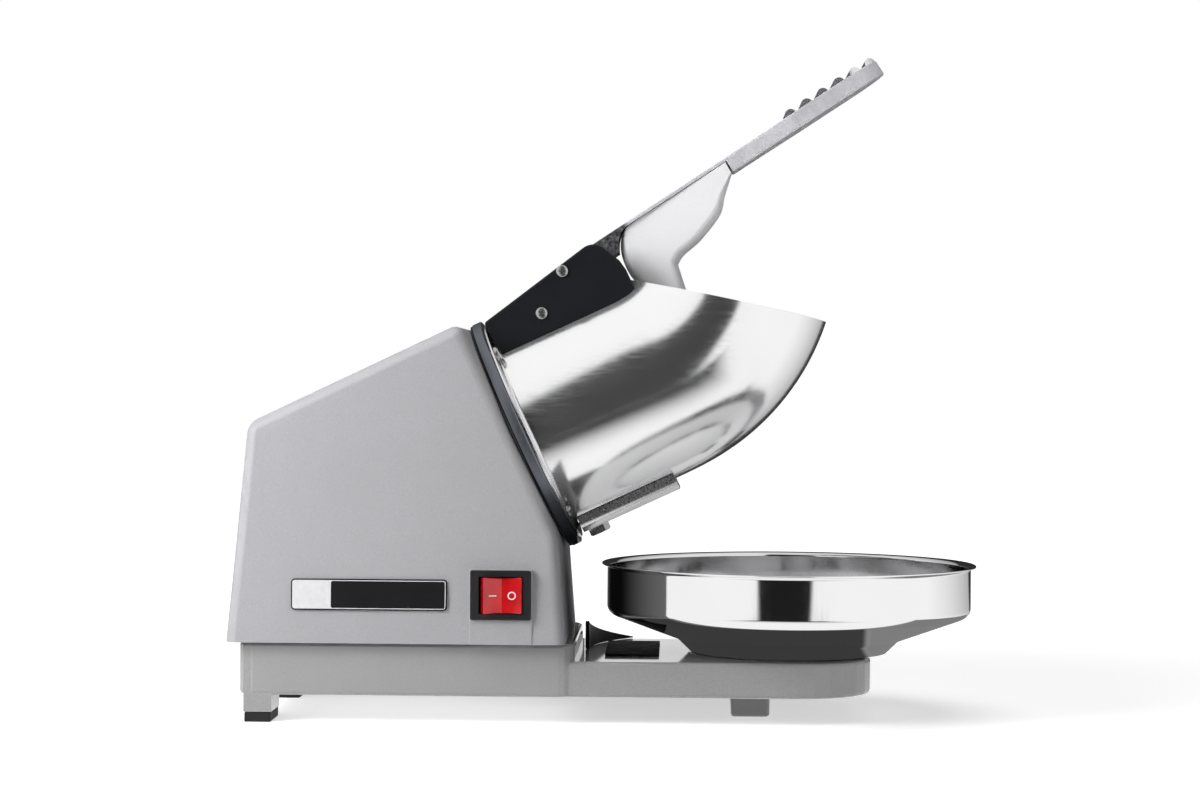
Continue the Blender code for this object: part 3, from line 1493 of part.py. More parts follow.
def lever():
    arm = slab("lever_arm", arm_outline(), -GRIP_HALF_WIDTH, GRIP_HALF_WIDTH, LEVER, "XZ")
    plan = slab("arm_plan_form", arm_plan(), -ARM_REACH / 4, ARM_REACH / 4, LEVER)
    keep_inside(arm, plan)
    pin_hole = rod(
        "arm_bore", PIVOT_PIN_RADIUS + GAP, -GRIP_HALF_WIDTH - OVERRUN, GRIP_HALF_WIDTH + OVERRUN, LEVER, "Y",
        segments=16,
    )
    cut(arm, pin_hole)

    skin = ARM_TOP - SKIN_THICKNESS - GAP
    turn = plate_turn()
    normal = Vector((math.cos(turn), math.sin(turn)))
    along = Vector((-math.sin(turn), math.cos(turn)))
    middle = plate_centre() + normal * (PLATE_THICKNESS / 2)
    rear_foot = middle + along * (PLATE_RADIUS * 0.5)
    front_foot = middle - along * (PLATE_RADIUS * 0.65)
    rear_edge = through([tuple(rear_foot), (NECK_BACK, -NECK_DROP - OVERRUN), (NECK_BACK, -NECK_DROP)])
    front_edge = through([
        (GRIP_START - GAP, -ARM_BOTTOM),
        ((GRIP_START + WEB_ALONG) / 2 - WEB_BELLY, -(ARM_BOTTOM + WEB_DROP) / 2 - WEB_BELLY / 2),
        (WEB_ALONG, -WEB_DROP),
        ((WEB_ALONG + ELBOW_ALONG) / 2 - WEB_BELLY / 2, -(WEB_DROP + ELBOW_DROP) / 2 - WEB_BELLY),
        (ELBOW_ALONG, -ELBOW_DROP),
        (NECK_FRONT, -NECK_LOW),
        tuple(front_foot),
    ])
    root = root_curve(-NECK_DROP, 0.0, skin, 12)
    outline = [*rear_edge, *root[1:], (GRIP_START - GAP, skin), *front_edge]
    presser = slab("presser", outline, -PRESSER_HALF_WIDTH, PRESSER_HALF_WIDTH, LEVER, "XZ")
    round_edges(presser, PRESSER_EDGE, 2, 60.0)
    plate = rod("plate_form", PLATE_RADIUS, 0.0, PLATE_THICKNESS, LEVER, "X", segments=TURN_STEPS)
    centre = plate_centre()
    plate.matrix_basis = (
        Matrix.Translation((centre[0], 0.0, centre[1]))
        @ Matrix.Rotation(-turn, 4, "Y")
        @ plate.matrix_basis
    )
    join(presser, plate)
    for number, x in enumerate(PRESSER_SCREW_PLACES, 1):
        for obj in (arm, presser):
            hole = rod(
                "presser_screw_hole", SMALL_SCREW_RADIUS + SCREW_CLEARANCE,
                ARM_TOP - PRESSER_SCREW_LENGTH - GAP, ARM_TOP + OVERRUN, LEVER, "Z", (x, 0.0, 0.0), 12,
            )
            cut(obj, hole)
        screw(
            f"presser_screw_{number}", SMALL_SCREW_RADIUS, PRESSER_SCREW_LENGTH, SMALL_HEAD_RADIUS,
            SMALL_HEAD_HEIGHT * 0.7, LEVER, "Z", (x, 0.0, ARM_TOP + GAP), tip=-1,
        )
    finish(arm, BARE_ALUMINIUM)
    finish(presser, STAINLESS)


# What stands on the platform

def platform_fittings():
    low = platform_top + GAP
    pad = slab(
        "platform_pad",
        rectangle((PAD_X - PAD_LENGTH / 2, -PAD_WIDTH / 2), (PAD_X + PAD_LENGTH / 2, PAD_WIDTH / 2), GAP * 3),
        low, low + PAD_THICKNESS, GROUND,
    )
    finish(pad, RUBBER)
    start = 180.0
    end = start - GUARD_SWEEP_DEG
    centre = (BOWL_X, 0.0)
    outline = [
        *arc(centre, GUARD_RADIUS + GUARD_THICKNESS, start, end, 12),
        *arc(centre, GUARD_RADIUS, end, start, 12),
    ]
    guard = slab("splash_guard", outline, low, low + GUARD_HEIGHT, GROUND)
    run = GUARD_RADIUS * math.sin(math.radians(GUARD_SWEEP_DEG))
    fall = math.atan2(GUARD_HEIGHT - GUARD_LOW_END, run)
    over = box(
        "guard_slope",
        (-GUARD_RADIUS, -GUARD_RADIUS, 0.0),
        (GUARD_RADIUS, GUARD_RADIUS, GUARD_HEIGHT * 3),
        GROUND,
    )
    over.location = (0.0, 0.0, low + GUARD_HEIGHT)
    over.rotation_euler = (-fall, 0.0, 0.0)
    cut(guard, over)
    finish(guard, BLACK_PLASTIC)


def bowl():
    wall_radius = BOWL_RADIUS - BOWL_RIM_WIDTH
    soft = 0.004
    outer = [
        (BOWL_RADIUS, BOWL_HEIGHT),
        (BOWL_RADIUS, BOWL_HEIGHT - BOWL_WALL),
        (wall_radius + GAP, BOWL_HEIGHT - BOWL_WALL * 1.6),
        (wall_radius, BOWL_HEIGHT - soft),
        (wall_radius, BOWL_SHOULDER_HEIGHT + soft),
        (BOWL_SHOULDER_RADIUS - soft * 0.25, BOWL_SHOULDER_HEIGHT),
        (BOWL_SHOULDER_RADIUS - soft * 1.3, BOWL_SHOULDER_HEIGHT - soft * 0.7),
        (BOWL_STEP_RADIUS + soft / 2, BOWL_STEP_HEIGHT + soft * 0.25),
        (BOWL_STEP_RADIUS - soft * 0.1, BOWL_STEP_HEIGHT - soft * 0.25),
        (BOWL_BOTTOM_RADIUS + soft / 2, GAP * 2),
        (BOWL_BOTTOM_RADIUS, 0.0),
        (0.0, 0.0),
    ]
    inner = [
        (0.0, BOWL_WALL),
        (BOWL_BOTTOM_RADIUS - GAP * 2, BOWL_WALL),
        (BOWL_STEP_RADIUS - soft * 0.1 - BOWL_WALL, BOWL_STEP_HEIGHT),
        (BOWL_STEP_RADIUS + soft / 2 - BOWL_WALL / 2, BOWL_STEP_HEIGHT + soft * 0.25 + BOWL_WALL),
        (BOWL_SHOULDER_RADIUS - soft * 1.3 - BOWL_WALL / 2, BOWL_SHOULDER_HEIGHT - soft * 0.7 + BOWL_WALL),
        (BOWL_SHOULDER_RADIUS - soft * 0.25 - BOWL_WALL, BOWL_SHOULDER_HEIGHT + BOWL_WALL / 2),
        (wall_radius - BOWL_WALL, BOWL_SHOULDER_HEIGHT + soft),
        (wall_radius - BOWL_WALL, BOWL_HEIGHT - GAP * 2),
        (wall_radius - BOWL_WALL + GAP * 2, BOWL_HEIGHT),
    ]
    obj = turned("bowl", [*outer, *inner], BOWL, "Z", steps=48, closed=True)
    finish(obj, STAINLESS)


base_casting()
cord_grommet()
feet()
bottom_cover()
casing()
casing_bolts()
nameplate()
rocker_switch()
mounting_ring()
barrel()
discharge_spout()
cutter()
motor()
hinge_bracket()
lever()
platform_fittings()
bowl()
bpy.context.view_layer.update()
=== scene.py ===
"""An electric ice crusher in a plain white studio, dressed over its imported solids.

Everything is in metres and in the part's own frame: Z up, X from the casing to the bowl, the switch on the
-Y side. Head axes are the barrel's: X along it, out of the casing, and Z up the casing's sloping front. Lever
axes are the arm's: X along it and Z out of its top.
"""

import json
import math

import bmesh
import bpy
from mathutils import Matrix, Vector

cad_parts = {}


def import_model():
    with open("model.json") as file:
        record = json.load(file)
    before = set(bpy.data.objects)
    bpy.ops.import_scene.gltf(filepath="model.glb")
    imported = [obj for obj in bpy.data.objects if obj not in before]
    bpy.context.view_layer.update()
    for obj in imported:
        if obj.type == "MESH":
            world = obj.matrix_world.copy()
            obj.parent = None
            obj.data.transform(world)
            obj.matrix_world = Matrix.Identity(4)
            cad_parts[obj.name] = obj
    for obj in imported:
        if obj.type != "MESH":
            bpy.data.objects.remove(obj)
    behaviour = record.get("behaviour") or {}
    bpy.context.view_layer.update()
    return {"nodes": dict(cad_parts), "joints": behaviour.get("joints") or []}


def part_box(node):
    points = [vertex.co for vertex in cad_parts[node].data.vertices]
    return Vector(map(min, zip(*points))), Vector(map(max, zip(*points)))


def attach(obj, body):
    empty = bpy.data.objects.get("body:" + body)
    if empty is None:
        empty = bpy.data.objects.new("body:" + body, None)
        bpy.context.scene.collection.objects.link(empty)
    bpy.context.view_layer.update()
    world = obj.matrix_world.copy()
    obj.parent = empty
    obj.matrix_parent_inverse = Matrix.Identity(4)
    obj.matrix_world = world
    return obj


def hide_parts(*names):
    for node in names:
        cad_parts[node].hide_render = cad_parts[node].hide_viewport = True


# Camera, in metres, degrees and pixels of the 1200 x 800 photograph
CAMERA_PLACE = (0.0369, -1.4331, 0.1754)
CAMERA_YAW_DEG = -1.70
CAMERA_PITCH_DEG = -0.36
CAMERA_ROLL_DEG = 0.38
CAMERA_NEAR_END = 0.05
FOCAL_PIXELS = 2670.6
PHOTO_WIDTH = 1200
SENSOR_WIDTH_MM = 36.0

# Gaps and tool sizes
GAP = 0.0003
TINY = 0.00001
TRIM = 0.01

# Casing
CASING_HALF_WIDTH = 0.073
CASING_DRAFT_DEG = 2.8
CASING_WALL = 0.003
CASING_EDGE = 0.006
FACE_UP = 0.0657
FACE_DOWN = 0.055
ROOF_LENGTH = 0.1213
ROOF_SLOPE_DEG = 25.6
BACK_RAKE = 0.0106
CHIN_RAKE = 0.005
CASING_HOLE_RADIUS = 0.023

# Nameplate
NAMEPLATE_X = -0.121
NAMEPLATE_ABOVE = 0.025
NAMEPLATE_LENGTH = 0.080
NAMEPLATE_HEIGHT = 0.016
NAMEPLATE_THICKNESS = 0.001
NAMEPLATE_CORNER = 0.002
NAMEPLATE_BORDER = 0.0007
BORDER_WIDTH = 0.0004
BORDER_PROUD = 0.00006
FIELD_LENGTH = 0.0205

# Switch
SWITCH_X = -0.0535
SWITCH_Z = 0.0669
BEZEL_LENGTH = 0.0312
BEZEL_HEIGHT = 0.0255
BEZEL_THICKNESS = 0.0018
BEZEL_CORNER = 0.0012
SWITCH_BODY_LENGTH = 0.0272
SWITCH_BODY_HEIGHT = 0.0214
SWITCH_BODY_DEPTH = 0.020
POCKET_LENGTH = 0.0224
POCKET_HEIGHT = 0.0190
POCKET_DEPTH = 0.013
PAD_PROUD = 0.0004
PAD_MARGIN = 0.0006
PAD_CORNER = 0.0015
ROCKER_TILT_DEG = 10.0
ROCKER_PIN_DEPTH = 0.002
ROCKER_END = 0.0098
ROCKER_BACK = 0.0045
ROCKER_PROUD = 0.0032
ROCKER_VALLEY = 0.0016
ROCKER_DIP = 0.0003
ROCKER_EDGE = 0.0007
MARK_DEPTH = 0.00012
MARK_LINE = 0.0006
DASH_HALF = 0.0020
CIRCLE_RADIUS = 0.0021

# Ring and gasket, and the screws: a screw has shank radius, length, head radius and head height
GASKET_THICKNESS = 0.0008
GASKET_INSET = 0.0005
RING_AT = 0.0014
RING_THICKNESS = 0.0052
RING_RADIUS = 0.065
RING_EDGE = 0.0008
SEAL_SEAT_RADIUS = 0.017
RING_SCREW_CIRCLE = 0.0595
RING_SCREW_ANGLES = (42.0, 142.0, -142.0, -42.0)
RING_SCREW = (0.0025, 0.0162, 0.0038, 0.0030)
SMALL_HEAD = (0.00315, 0.0014)
SMALL_SCREW_RADIUS = 0.0015
PIVOT_SCREW_LENGTH = 0.01
FLUSH_PROUD = 0.0002
HEAD_RIM = 0.45
RECESS_REACH = 0.56
RECESS_HALF_WIDTH = 0.13
RECESS_DEPTH = 0.55

# Barrel
BARREL_RADIUS = 0.055
BARREL_WALL = 0.001
BARREL_STRAIGHT = 0.0775
BEND_RADIUS = 0.077
BEND_SWEEP_DEG = 60.0
MOUTH_TURN_DEG = 47.2
MOUTH_SLOPE_DEG = 36.5
BARREL_SIDES = 144
BEND_EASE = 0.015
PATH_STEPS = 90
FLANGE_AT = 0.0069
FLANGE_FACE = 0.0081
FLANGE_RADIUS = 0.0623
FLANGE_EDGE = 0.0003
NOTCH_START = 0.064
SLOT_CLEARANCE = 0.0005
DROP_SLOT_START = 0.026
DROP_SLOT_END = 0.0425
DROP_SLOT_HALF_WIDTH = 0.015

# Spout
SPOUT_START = 0.0105
SPOUT_FOOT_END = 0.0245
SPOUT_END = 0.0665
SPOUT_HALF_WIDTH = 0.020
SPOUT_DROP = 0.0055
SPOUT_WALL = 0.0011
SPOUT_CORNER = 0.005
SPOUT_BOLT_AT = 0.018
SPOUT_BOLT_RADIUS = 0.003
SPOUT_HEX_ACROSS = 0.010
SPOUT_HEX_HEIGHT = 0.004
SPOUT_SHANK = 0.0095

# Bracket and pivot
PIVOT_ALONG = 0.058
PIVOT_UP = 0.0695
PIVOT_PIN_RADIUS = 0.0025
BRACKET_START = 0.0095
BRACKET_END = 0.0888
BRACKET_HALF_WIDTH = 0.0345
BRACKET_BACK_RISE = 0.007
BRACKET_FRONT_RISE = 0.0226
BRACKET_SHOULDER = 0.009
BRACKET_TOP_RADIUS = 0.009
BRACKET_WEB_END = 0.048
BRACKET_EDGE = 0.0012
LUG_START = 0.029
LUG_END = 0.0475
LUG_HALF_WIDTH = 0.024
LUG_HEIGHT = 0.0055
LUG_SCREW_ALONG = 0.039
LUG_SCREW_LENGTH = 0.0145
LUG_SCREW_RISE = 0.0025
SCREW_CLEARANCE = 0.0004

# Lever and presser
LEVER_REST_DEG = 33.5
ARM_REACH = 0.2012
ARM_TOP = 0.0042
ARM_BOTTOM = 0.0044
ARM_EDGE = 0.0004
HUB_RADIUS = 0.007
HUB_TOP_RADIUS = 0.0032
HUB_RISE_END = 0.014
HUB_HALF_WIDTH = 0.015
ROOT_LENGTH = 0.043
ROOT_CLEARANCE = 0.001
ROOT_STRAIGHT = 0.01
ROOT_LAP = 0.004
SKIN_LAP = 0.006
# Where the root's coarse cast grain and its painted shade give way to the smooth arm
CAST_AND_SHADED_ROOT_END = (0.0400, 0.0435)
SKIN_THICKNESS = 0.0017
GRIP_START = 0.1042
GRIP_EDGE = 0.0011
WAIST_REACH = 0.01
WAIST_HALF_WIDTH = 0.0135
GRIP_HALF_WIDTH = 0.018
RIDGE_COUNT = 6
RIDGE_PITCH = 0.01014
RIDGE_RADIUS = 0.0032
RIDGE_FROM_TIP = 0.0043
RIDGE_EDGE = 0.0016
PRESSER_HALF_WIDTH = 0.013
PRESSER_EDGE = 0.005
PRESSER_BLEND = 0.006
PRESSER_TIP_SHARE = 0.15
NECK_BACK = 0.029
NECK_FRONT = 0.0512
NECK_DROP = 0.0201
NECK_LOW = 0.037
ELBOW_ALONG = 0.056
ELBOW_DROP = 0.0276
WEB_ALONG = 0.087
WEB_DROP = 0.019
WEB_BELLY = 0.0014
PLATE_CENTRE = (0.0284, -0.0667)
PLATE_TURN_DEG = 24.5
PLATE_RADIUS = 0.034
PLATE_THICKNESS = 0.004
PLATE_EDGE = 0.0008
PRESSER_SCREW_PLACES = (0.058, 0.088)
PRESSER_SCREW_LENGTH = 0.0098

# Platform fittings and bowl
PAD_X = 0.013
PAD_LENGTH = 0.0284
PAD_WIDTH = 0.072
PAD_THICKNESS = 0.0012
PAD_ROUNDING = 0.001
GUARD_RADIUS = 0.1065
GUARD_THICKNESS = 0.002
GUARD_HEIGHT = 0.015
GUARD_LOW_END = 0.0008
GUARD_EDGE = 0.0005
GUARD_SWEEP_DEG = 38.0
BOWL_SEAT = (0.0959, 0.0, 0.0327)
BOWL_RADIUS = 0.100
BOWL_WALL = 0.0009
BOWL_HEIGHT = 0.047
BOWL_BOTTOM_RADIUS = 0.0524
BOWL_STEP_RADIUS = 0.0593
BOWL_STEP_HEIGHT = 0.0067
BOWL_WALL_RADIUS = 0.097
BOWL_SHOULDER_HEIGHT = 0.0206
BOWL_ROUNDINGS = (0.0010, 0.0025, 0.0055, 0.0012)

# Light; a lamp has its name, place, size and power
LAMP_AIM = (0.0, 0.0, 0.15)
LAMPS = (
    ("key", (-0.58, -0.44, 0.44), 0.42, 6.7),
    ("fill", (0.62, -0.48, 0.14), 0.4, 0.8),
    ("top", (0.0, 0.15, 1.6), 1.2, 10.5),
)
WORLD_LIGHT = 0.09
FLOOR_TONE = 0.82
FLOOR_GLOW_NEAR = 0.55
FLOOR_GLOW_FAR = 1.0
FLOOR_FADE = (0.35, 1.1)
ROOM_TONES = ((0.0, 1.0), (0.42, 0.76), (0.68, 0.56), (0.80, 0.46), (0.84, 0.03))
FLOOR_REACH = 6.0

# Cards before the object: plane, level, outer and inner outline, by place, left and right of two edges
CARD_TONE = 0.012
FRONT_CARDS = {
    "card_behind_camera": (
        "XZ", -1.6, (-0.1, -0.56, 0.54, 3.4, -0.56, 0.54), (-0.1, -0.46, 0.44, 1.15, -0.46, 0.44),
    ),
    "card_on_floor": (
        "XY", 0.002, (-1.6, -0.526, 0.473, -0.55, -0.113, 0.212), (-1.6, -0.486, 0.433, -0.56, -0.073, 0.172),
    ),
    "card_before_barrel": (
        "XY", 0.002, (-0.6, -0.16, 0.33, -0.15, -0.06, 0.26), (-0.6, -0.12, 0.29, -0.42, -0.08, 0.22),
    ),
}

# Cards of painted shade between casing and bowl, under the bowl and beside the platform, with the tones of
# their middle and rim
CASING_SHADE_OUTER = ((-0.077, 0.03), (0.077, 0.115))
CASING_SHADE_INNER = ((-0.015, 0.03), (0.015, 0.10))
CASING_SHADE_TONES = (0.003, 0.13)
SHADE_GAP = 0.004
SHADE_HALF_WIDTH = 0.08
SHADE_CORE = 0.07
SHADE_BESIDE = 0.1
PLATFORM_SHADE_TONES = (0.045, 0.25)
BESIDE_SHADE_TONES = (0.22, 0.25)
# A white card of painted light behind the platform, which only polished surfaces see
WHITE_CARD_AT = 0.1
WHITE_CARD_END = (0.055, 0.075)

# Short names for the Principled shader's sockets
SOCKETS = {
    "gloss": "Specular IOR Level",
    "coat": "Coat Weight",
    "coat_roughness": "Coat Roughness",
    "subsurface": "Subsurface Weight",
    "subsurface_scale": "Subsurface Scale",
    "emission": "Emission Color",
}
WHITE = (1.0, 1.0, 1.0, 1.0)

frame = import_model()
joints = {joint["name"]: joint for joint in frame["joints"]}
nodes = frame["nodes"]


def turned(degrees, axis):
    return Matrix.Rotation(math.radians(degrees), 4, axis)


def shifted(x, y, z):
    return Matrix.Translation((x, y, z))


head_axis = Vector(joints["rotor_spin"]["axis"]).normalized()
head_tilt = math.atan2(head_axis.z, head_axis.x)
HEAD = Matrix.Translation(joints["rotor_spin"]["pos_m"]) @ Matrix.Rotation(-head_tilt, 4, "Y")
LEVER = Matrix.Translation(joints["lever_hinge"]["pos_m"]) @ turned(-LEVER_REST_DEG, "Y")
ALONG_X = turned(90.0, "Y")


# Node building blocks

class Nodes:
    """A node tree with short calls for its nodes and their sockets."""

    def __init__(self, tree):
        self.tree = tree

    def feed(self, node, sockets):
        """Sets a node's inputs to values, or links them to other nodes' outputs."""
        for key, value in sockets.items():
            if isinstance(value, bpy.types.NodeSocket):
                self.tree.links.new(value, node.inputs[key])
            else:
                node.inputs[key].default_value = value

    def node(self, kind, sockets, **settings):
        node = self.tree.nodes.new("ShaderNode" + kind)
        for key, value in settings.items():
            setattr(node, key, value)
        self.feed(node, sockets)
        return node

    def maths(self, operation, first, second):
        return self.node("Math", {0: first, 1: second}, operation=operation).outputs["Value"]

    def spread(self, value, low, high, from_low=0.3, from_high=0.7, **settings):
        """The value, as a number between low and high."""
        sockets = {"Value": value, "From Min": from_low, "From Max": from_high, "To Min": low, "To Max": high}
        return self.node("MapRange", sockets, clamp=True, **settings).outputs["Result"]

    def blend(self, share, first, second):
        """A colour between two; a Mix node has its colours on inputs 6 and 7 and on output 2."""
        return self.node("Mix", {"Factor": share, 6: first, 7: second}, data_type="RGBA").outputs[2]

    def rays(self, *kinds):
        """1 for any of these kinds of ray, and otherwise 0."""
        path = self.node("LightPath", {})
        seen = path.outputs[kinds[0]]
        for kind in kinds[1:]:
            seen = self.maths("MAXIMUM", seen, path.outputs[kind])
        return seen

    def room_tone(self, direction):
        """The white room as metal sees it: it falls off towards a dark wall far behind the object."""
        parts = self.node("SeparateXYZ", {"Vector": direction})
        ramp = self.node("ValToRGB", {"Fac": parts.outputs["Y"]})
        stops = ramp.color_ramp.elements
        while len(stops) < len(ROOM_TONES):
            stops.new(1.0)
        for stop, (place, tone) in zip(stops, ROOM_TONES):
            stop.position = place
            stop.color = (tone, tone, tone, 1.0)
        return ramp.outputs["Color"]


class Shader(Nodes):
    """A Principled material whose colour, roughness and bumps can follow noises."""

    def __init__(self, name, colour, roughness, metallic=0.0, **sockets):
        self.material = bpy.data.materials.new(name)
        self.material.use_nodes = True
        super().__init__(self.material.node_tree)
        self.bsdf = self.tree.nodes["Principled BSDF"]
        self.colour = colour
        self.material.diffuse_color = self.shade(1.0)
        own = {"Base Color": self.shade(1.0), "Roughness": roughness, "Metallic": metallic, "IOR": 1.5}
        self.feed(self.bsdf, own | {SOCKETS[key]: value for key, value in sockets.items()})
        self.place = self.node("TexCoord", {}).outputs["Object"]

    def shade(self, factor):
        return (*[channel * factor for channel in self.colour], 1.0)

    def noise(self, scale, detail=3.0, stretch=(1.0, 1.0, 1.0), roughness=0.5):
        """A noise value between 0 and 1; scale counts features in a metre."""
        place = self.node("Mapping", {"Vector": self.place, "Scale": stretch}).outputs["Vector"]
        sockets = {"Vector": place, "Scale": scale, "Detail": detail, "Roughness": roughness}
        return self.node("TexNoise", sockets).outputs["Fac"]

    def along(self, matrix, start, end, before=0.0, after=1.0):
        """One number before start and another after end, along the X axis of the matrix."""
        axis = matrix.to_3x3().col[0]
        at = axis.dot(matrix.translation)
        local = self.node("VectorMath", {0: self.place, 1: axis}, operation="DOT_PRODUCT")
        return self.spread(local.outputs["Value"], before, after, at + start, at + end)

    def tint(self, value, dark, light):
        """A colour between two brightnesses of the material's own."""
        return self.blend(self.spread(value, 0.0, 1.0), self.shade(dark), self.shade(light))

    def finish(self, colour, rough=None, *bumps):
        """The material with its colour, roughness (value, low, high) and bumps (value, depth, strength)."""
        self.feed(self.bsdf, {"Base Color": colour})
        if rough:
            self.feed(self.bsdf, {"Roughness": self.spread(*rough)})
        normal = {}
        for value, depth, strength in bumps:
            bump = self.node("Bump", {"Height": value, "Distance": depth, "Strength": strength} | normal)
            normal = {"Normal": bump.outputs["Normal"]}
        self.feed(self.bsdf, normal)
        return self.material

    def show(self, share, other):
        """Shows another shader in place of the Principled one, by share."""
        mix = self.node("MixShader", {"Fac": share, 1: self.bsdf.outputs["BSDF"], 2: other.outputs[0]})
        self.feed(self.tree.nodes["Material Output"], {"Surface": mix.outputs["Shader"]})


# Materials

def silver_paint(name, colour, coat=0.0):
    """Hammered silver paint: a fine grain, faint blotches and a dull metal sheen."""
    paint = Shader(name, colour, 0.5, 0.15, coat=coat, coat_roughness=0.08)
    grain = paint.noise(1700.0, 2.0)
    blotches = paint.spread(paint.noise(38.0, 4.0), 0.0, 0.16)
    colour = paint.blend(blotches, paint.tint(grain, 0.90, 1.07), paint.shade(0.8))
    hammered = (paint.noise(420.0, 2.0), 0.00016, 0.3)
    return paint.finish(colour, (grain, 0.42, 0.6), (grain, 0.00012, 0.55), hammered)


def stainless(name, colour, roughness, streak, metallic=1.0, depth=0.000008):
    """Polished stainless sheet: bright, with faint drawing lines along one axis."""
    steel = Shader(name, colour, roughness, metallic)
    lines = steel.noise(900.0, 3.0, streak)
    cloud = steel.tint(steel.noise(22.0), 0.97, 1.0)
    return steel.finish(cloud, (lines, roughness * 0.8, roughness * 1.3), (lines, depth, 0.25))


def cast_aluminium(name, colour, roughness, depth, metallic):
    """Cast aluminium, finely blasted, with the sand's grain."""
    cast = Shader(name, colour, roughness, metallic)
    grain = cast.noise(1300.0)
    rough = (grain, roughness * 0.8, roughness * 1.25)
    waves = (cast.noise(160.0), depth * 2, 0.3)
    return cast.finish(cast.tint(grain, 0.94, 1.0), rough, (grain, depth, 0.6), waves)


def arm_metal():
    """The arm: pale and smooth along the grip; coarse as cast where it leaves the hub, and painted dark there
    as shade.
    """
    arm = Shader("arm_aluminium", (0.74, 0.735, 0.775), 0.42, 0.3)
    grain = arm.noise(260.0)
    coarse = arm.noise(420.0, 5.0, roughness=0.75)
    pits = arm.spread(coarse, 0.0, 1.0, 0.38, 0.62)
    # Painted shade: the root by the hub is coloured near black to dark grey, over its real cast grain
    cast = arm.blend(pits, (0.012, 0.012, 0.014, 1.0), (0.20, 0.20, 0.21, 1.0))
    colour = arm.blend(arm.along(LEVER, *CAST_AND_SHADED_ROOT_END), cast, arm.tint(grain, 0.95, 1.03))
    depth = arm.maths("MULTIPLY", coarse, arm.along(LEVER, *CAST_AND_SHADED_ROOT_END, 1.0, 0.0))
    return arm.finish(colour, (grain, 0.36, 0.46), (depth, 0.0001, 0.5))


def machined(name, colour, roughness):
    """Turned or ground steel with fine marks."""
    steel = Shader(name, colour, roughness, 1.0)
    marks = steel.noise(2200.0, 2.0, (1.0, 1.0, 0.25))
    rough = (marks, roughness * 0.75, roughness * 1.35)
    return steel.finish(steel.tint(marks, 0.86, 1.0), rough, (marks, 0.00002, 0.4))


def plastic(name, colour, roughness, depth, gloss=0.5):
    """Moulded plastic with a fine spark-eroded grain."""
    moulded = Shader(name, colour, roughness, gloss=gloss)
    grain = moulded.noise(2200.0, 2.0)
    rough = (moulded.noise(60.0), roughness * 0.85, roughness * 1.15)
    return moulded.finish(moulded.tint(grain, 0.85, 1.12), rough, (grain, depth, 0.6))


def rubber(name, colour, gloss):
    """Soft black rubber, slightly dusty."""
    soft = Shader(name, colour, 0.75, gloss=gloss)
    dust = soft.noise(140.0, 5.0)
    return soft.finish(soft.tint(dust, 0.8, 1.6), (dust, 0.65, 0.9), (soft.noise(900.0, 2.0), 0.00005, 0.5))


def red_rocker():
    """Clear red rocker plastic: glossy and a little see-through."""
    red = Shader(
        "rocker_red", (0.58, 0.006, 0.010), 0.14,
        subsurface=0.15, subsurface_scale=0.002, coat=0.6, coat_roughness=0.08,
    )
    cloud = red.noise(120.0, 2.0)
    return red.finish(red.tint(cloud, 0.9, 1.15), (cloud, 0.1, 0.2))


def ridged(name, colour, roughness, scale, stretch, depth, strength):
    """Turns of wire or a stack of thin sheets, as fine ridges."""
    metal = Shader(name, colour, roughness, 0.9)
    ridges = metal.noise(scale, 1.0, stretch)
    return metal.finish(metal.tint(ridges, 0.6, 1.1), None, (ridges, depth, strength))


def ink(name, colour, roughness=0.4):
    printed = Shader(name, colour, roughness)
    return printed.finish(printed.tint(printed.noise(500.0, 2.0), 0.94, 1.02))


CASING_PAINT = silver_paint("casing_paint", (0.398, 0.394, 0.414))
BASE_PAINT = silver_paint("base_paint", (0.330, 0.330, 0.332), 1.0)
BARREL_STEEL = stainless("barrel_steel", (0.93, 0.93, 0.935), 0.15, (0.04, 1.0, 1.0), 0.95)
BOWL_STEEL = stainless("bowl_steel", (0.90, 0.90, 0.90), 0.08, (1.0, 1.0, 0.06))
# Painted shade: a darker copy of the bowl's own steel, with finer lines, for its inside
BOWL_INSIDE_SHADED = stainless("bowl_inside_shaded_steel", (0.74, 0.74, 0.745), 0.08, (1.0, 1.0, 0.06), 1.0, 0.000002)
SPOUT_STEEL = stainless("spout_steel", (0.80, 0.80, 0.81), 0.26, (1.0, 1.0, 1.0), 1.0, 0.0000005)
DISC_STEEL = stainless("disc_steel", (0.75, 0.75, 0.76), 0.3, (1.0, 0.2, 1.0))
ARM_METAL = arm_metal()
RIDGE_METAL = cast_aluminium("ridge_aluminium", (0.84, 0.84, 0.86), 0.24, 0.000002, 0.9)
# Painted reflection: the polished presser gets a near-white colour with no metal, standing for the white room
# it mirrors
PRESSER_PAINTED_REFLECTION = cast_aluminium("presser_painted_reflection", (0.96, 0.96, 0.975), 0.42, 0.000006, 0.0)
BELL_METAL = cast_aluminium("bell_aluminium", (0.60, 0.60, 0.61), 0.45, 0.00008, 1.0)
RING_METAL = machined("ring_metal", (0.20, 0.215, 0.24), 0.42)
MACHINED = machined("machined_steel", (0.55, 0.55, 0.55), 0.3)
ZINC = machined("zinc_plate", (0.50, 0.50, 0.50), 0.28)
BLACK_BRACKET = plastic("bracket_black", (0.0085, 0.009, 0.0115), 0.5, 0.00001, 0.2)
BLACK_PLASTIC = plastic("switch_black", (0.012, 0.012, 0.014), 0.35, 0.00002)
GUARD_PLASTIC = plastic("guard_black", (0.008, 0.008, 0.009), 0.5, 0.00002, 0.12)
RUBBER = rubber("rubber_black", (0.016, 0.016, 0.017), 0.4)
PAD_RUBBER = rubber("pad_rubber", (0.010, 0.010, 0.011), 0.06)
RED = red_rocker()
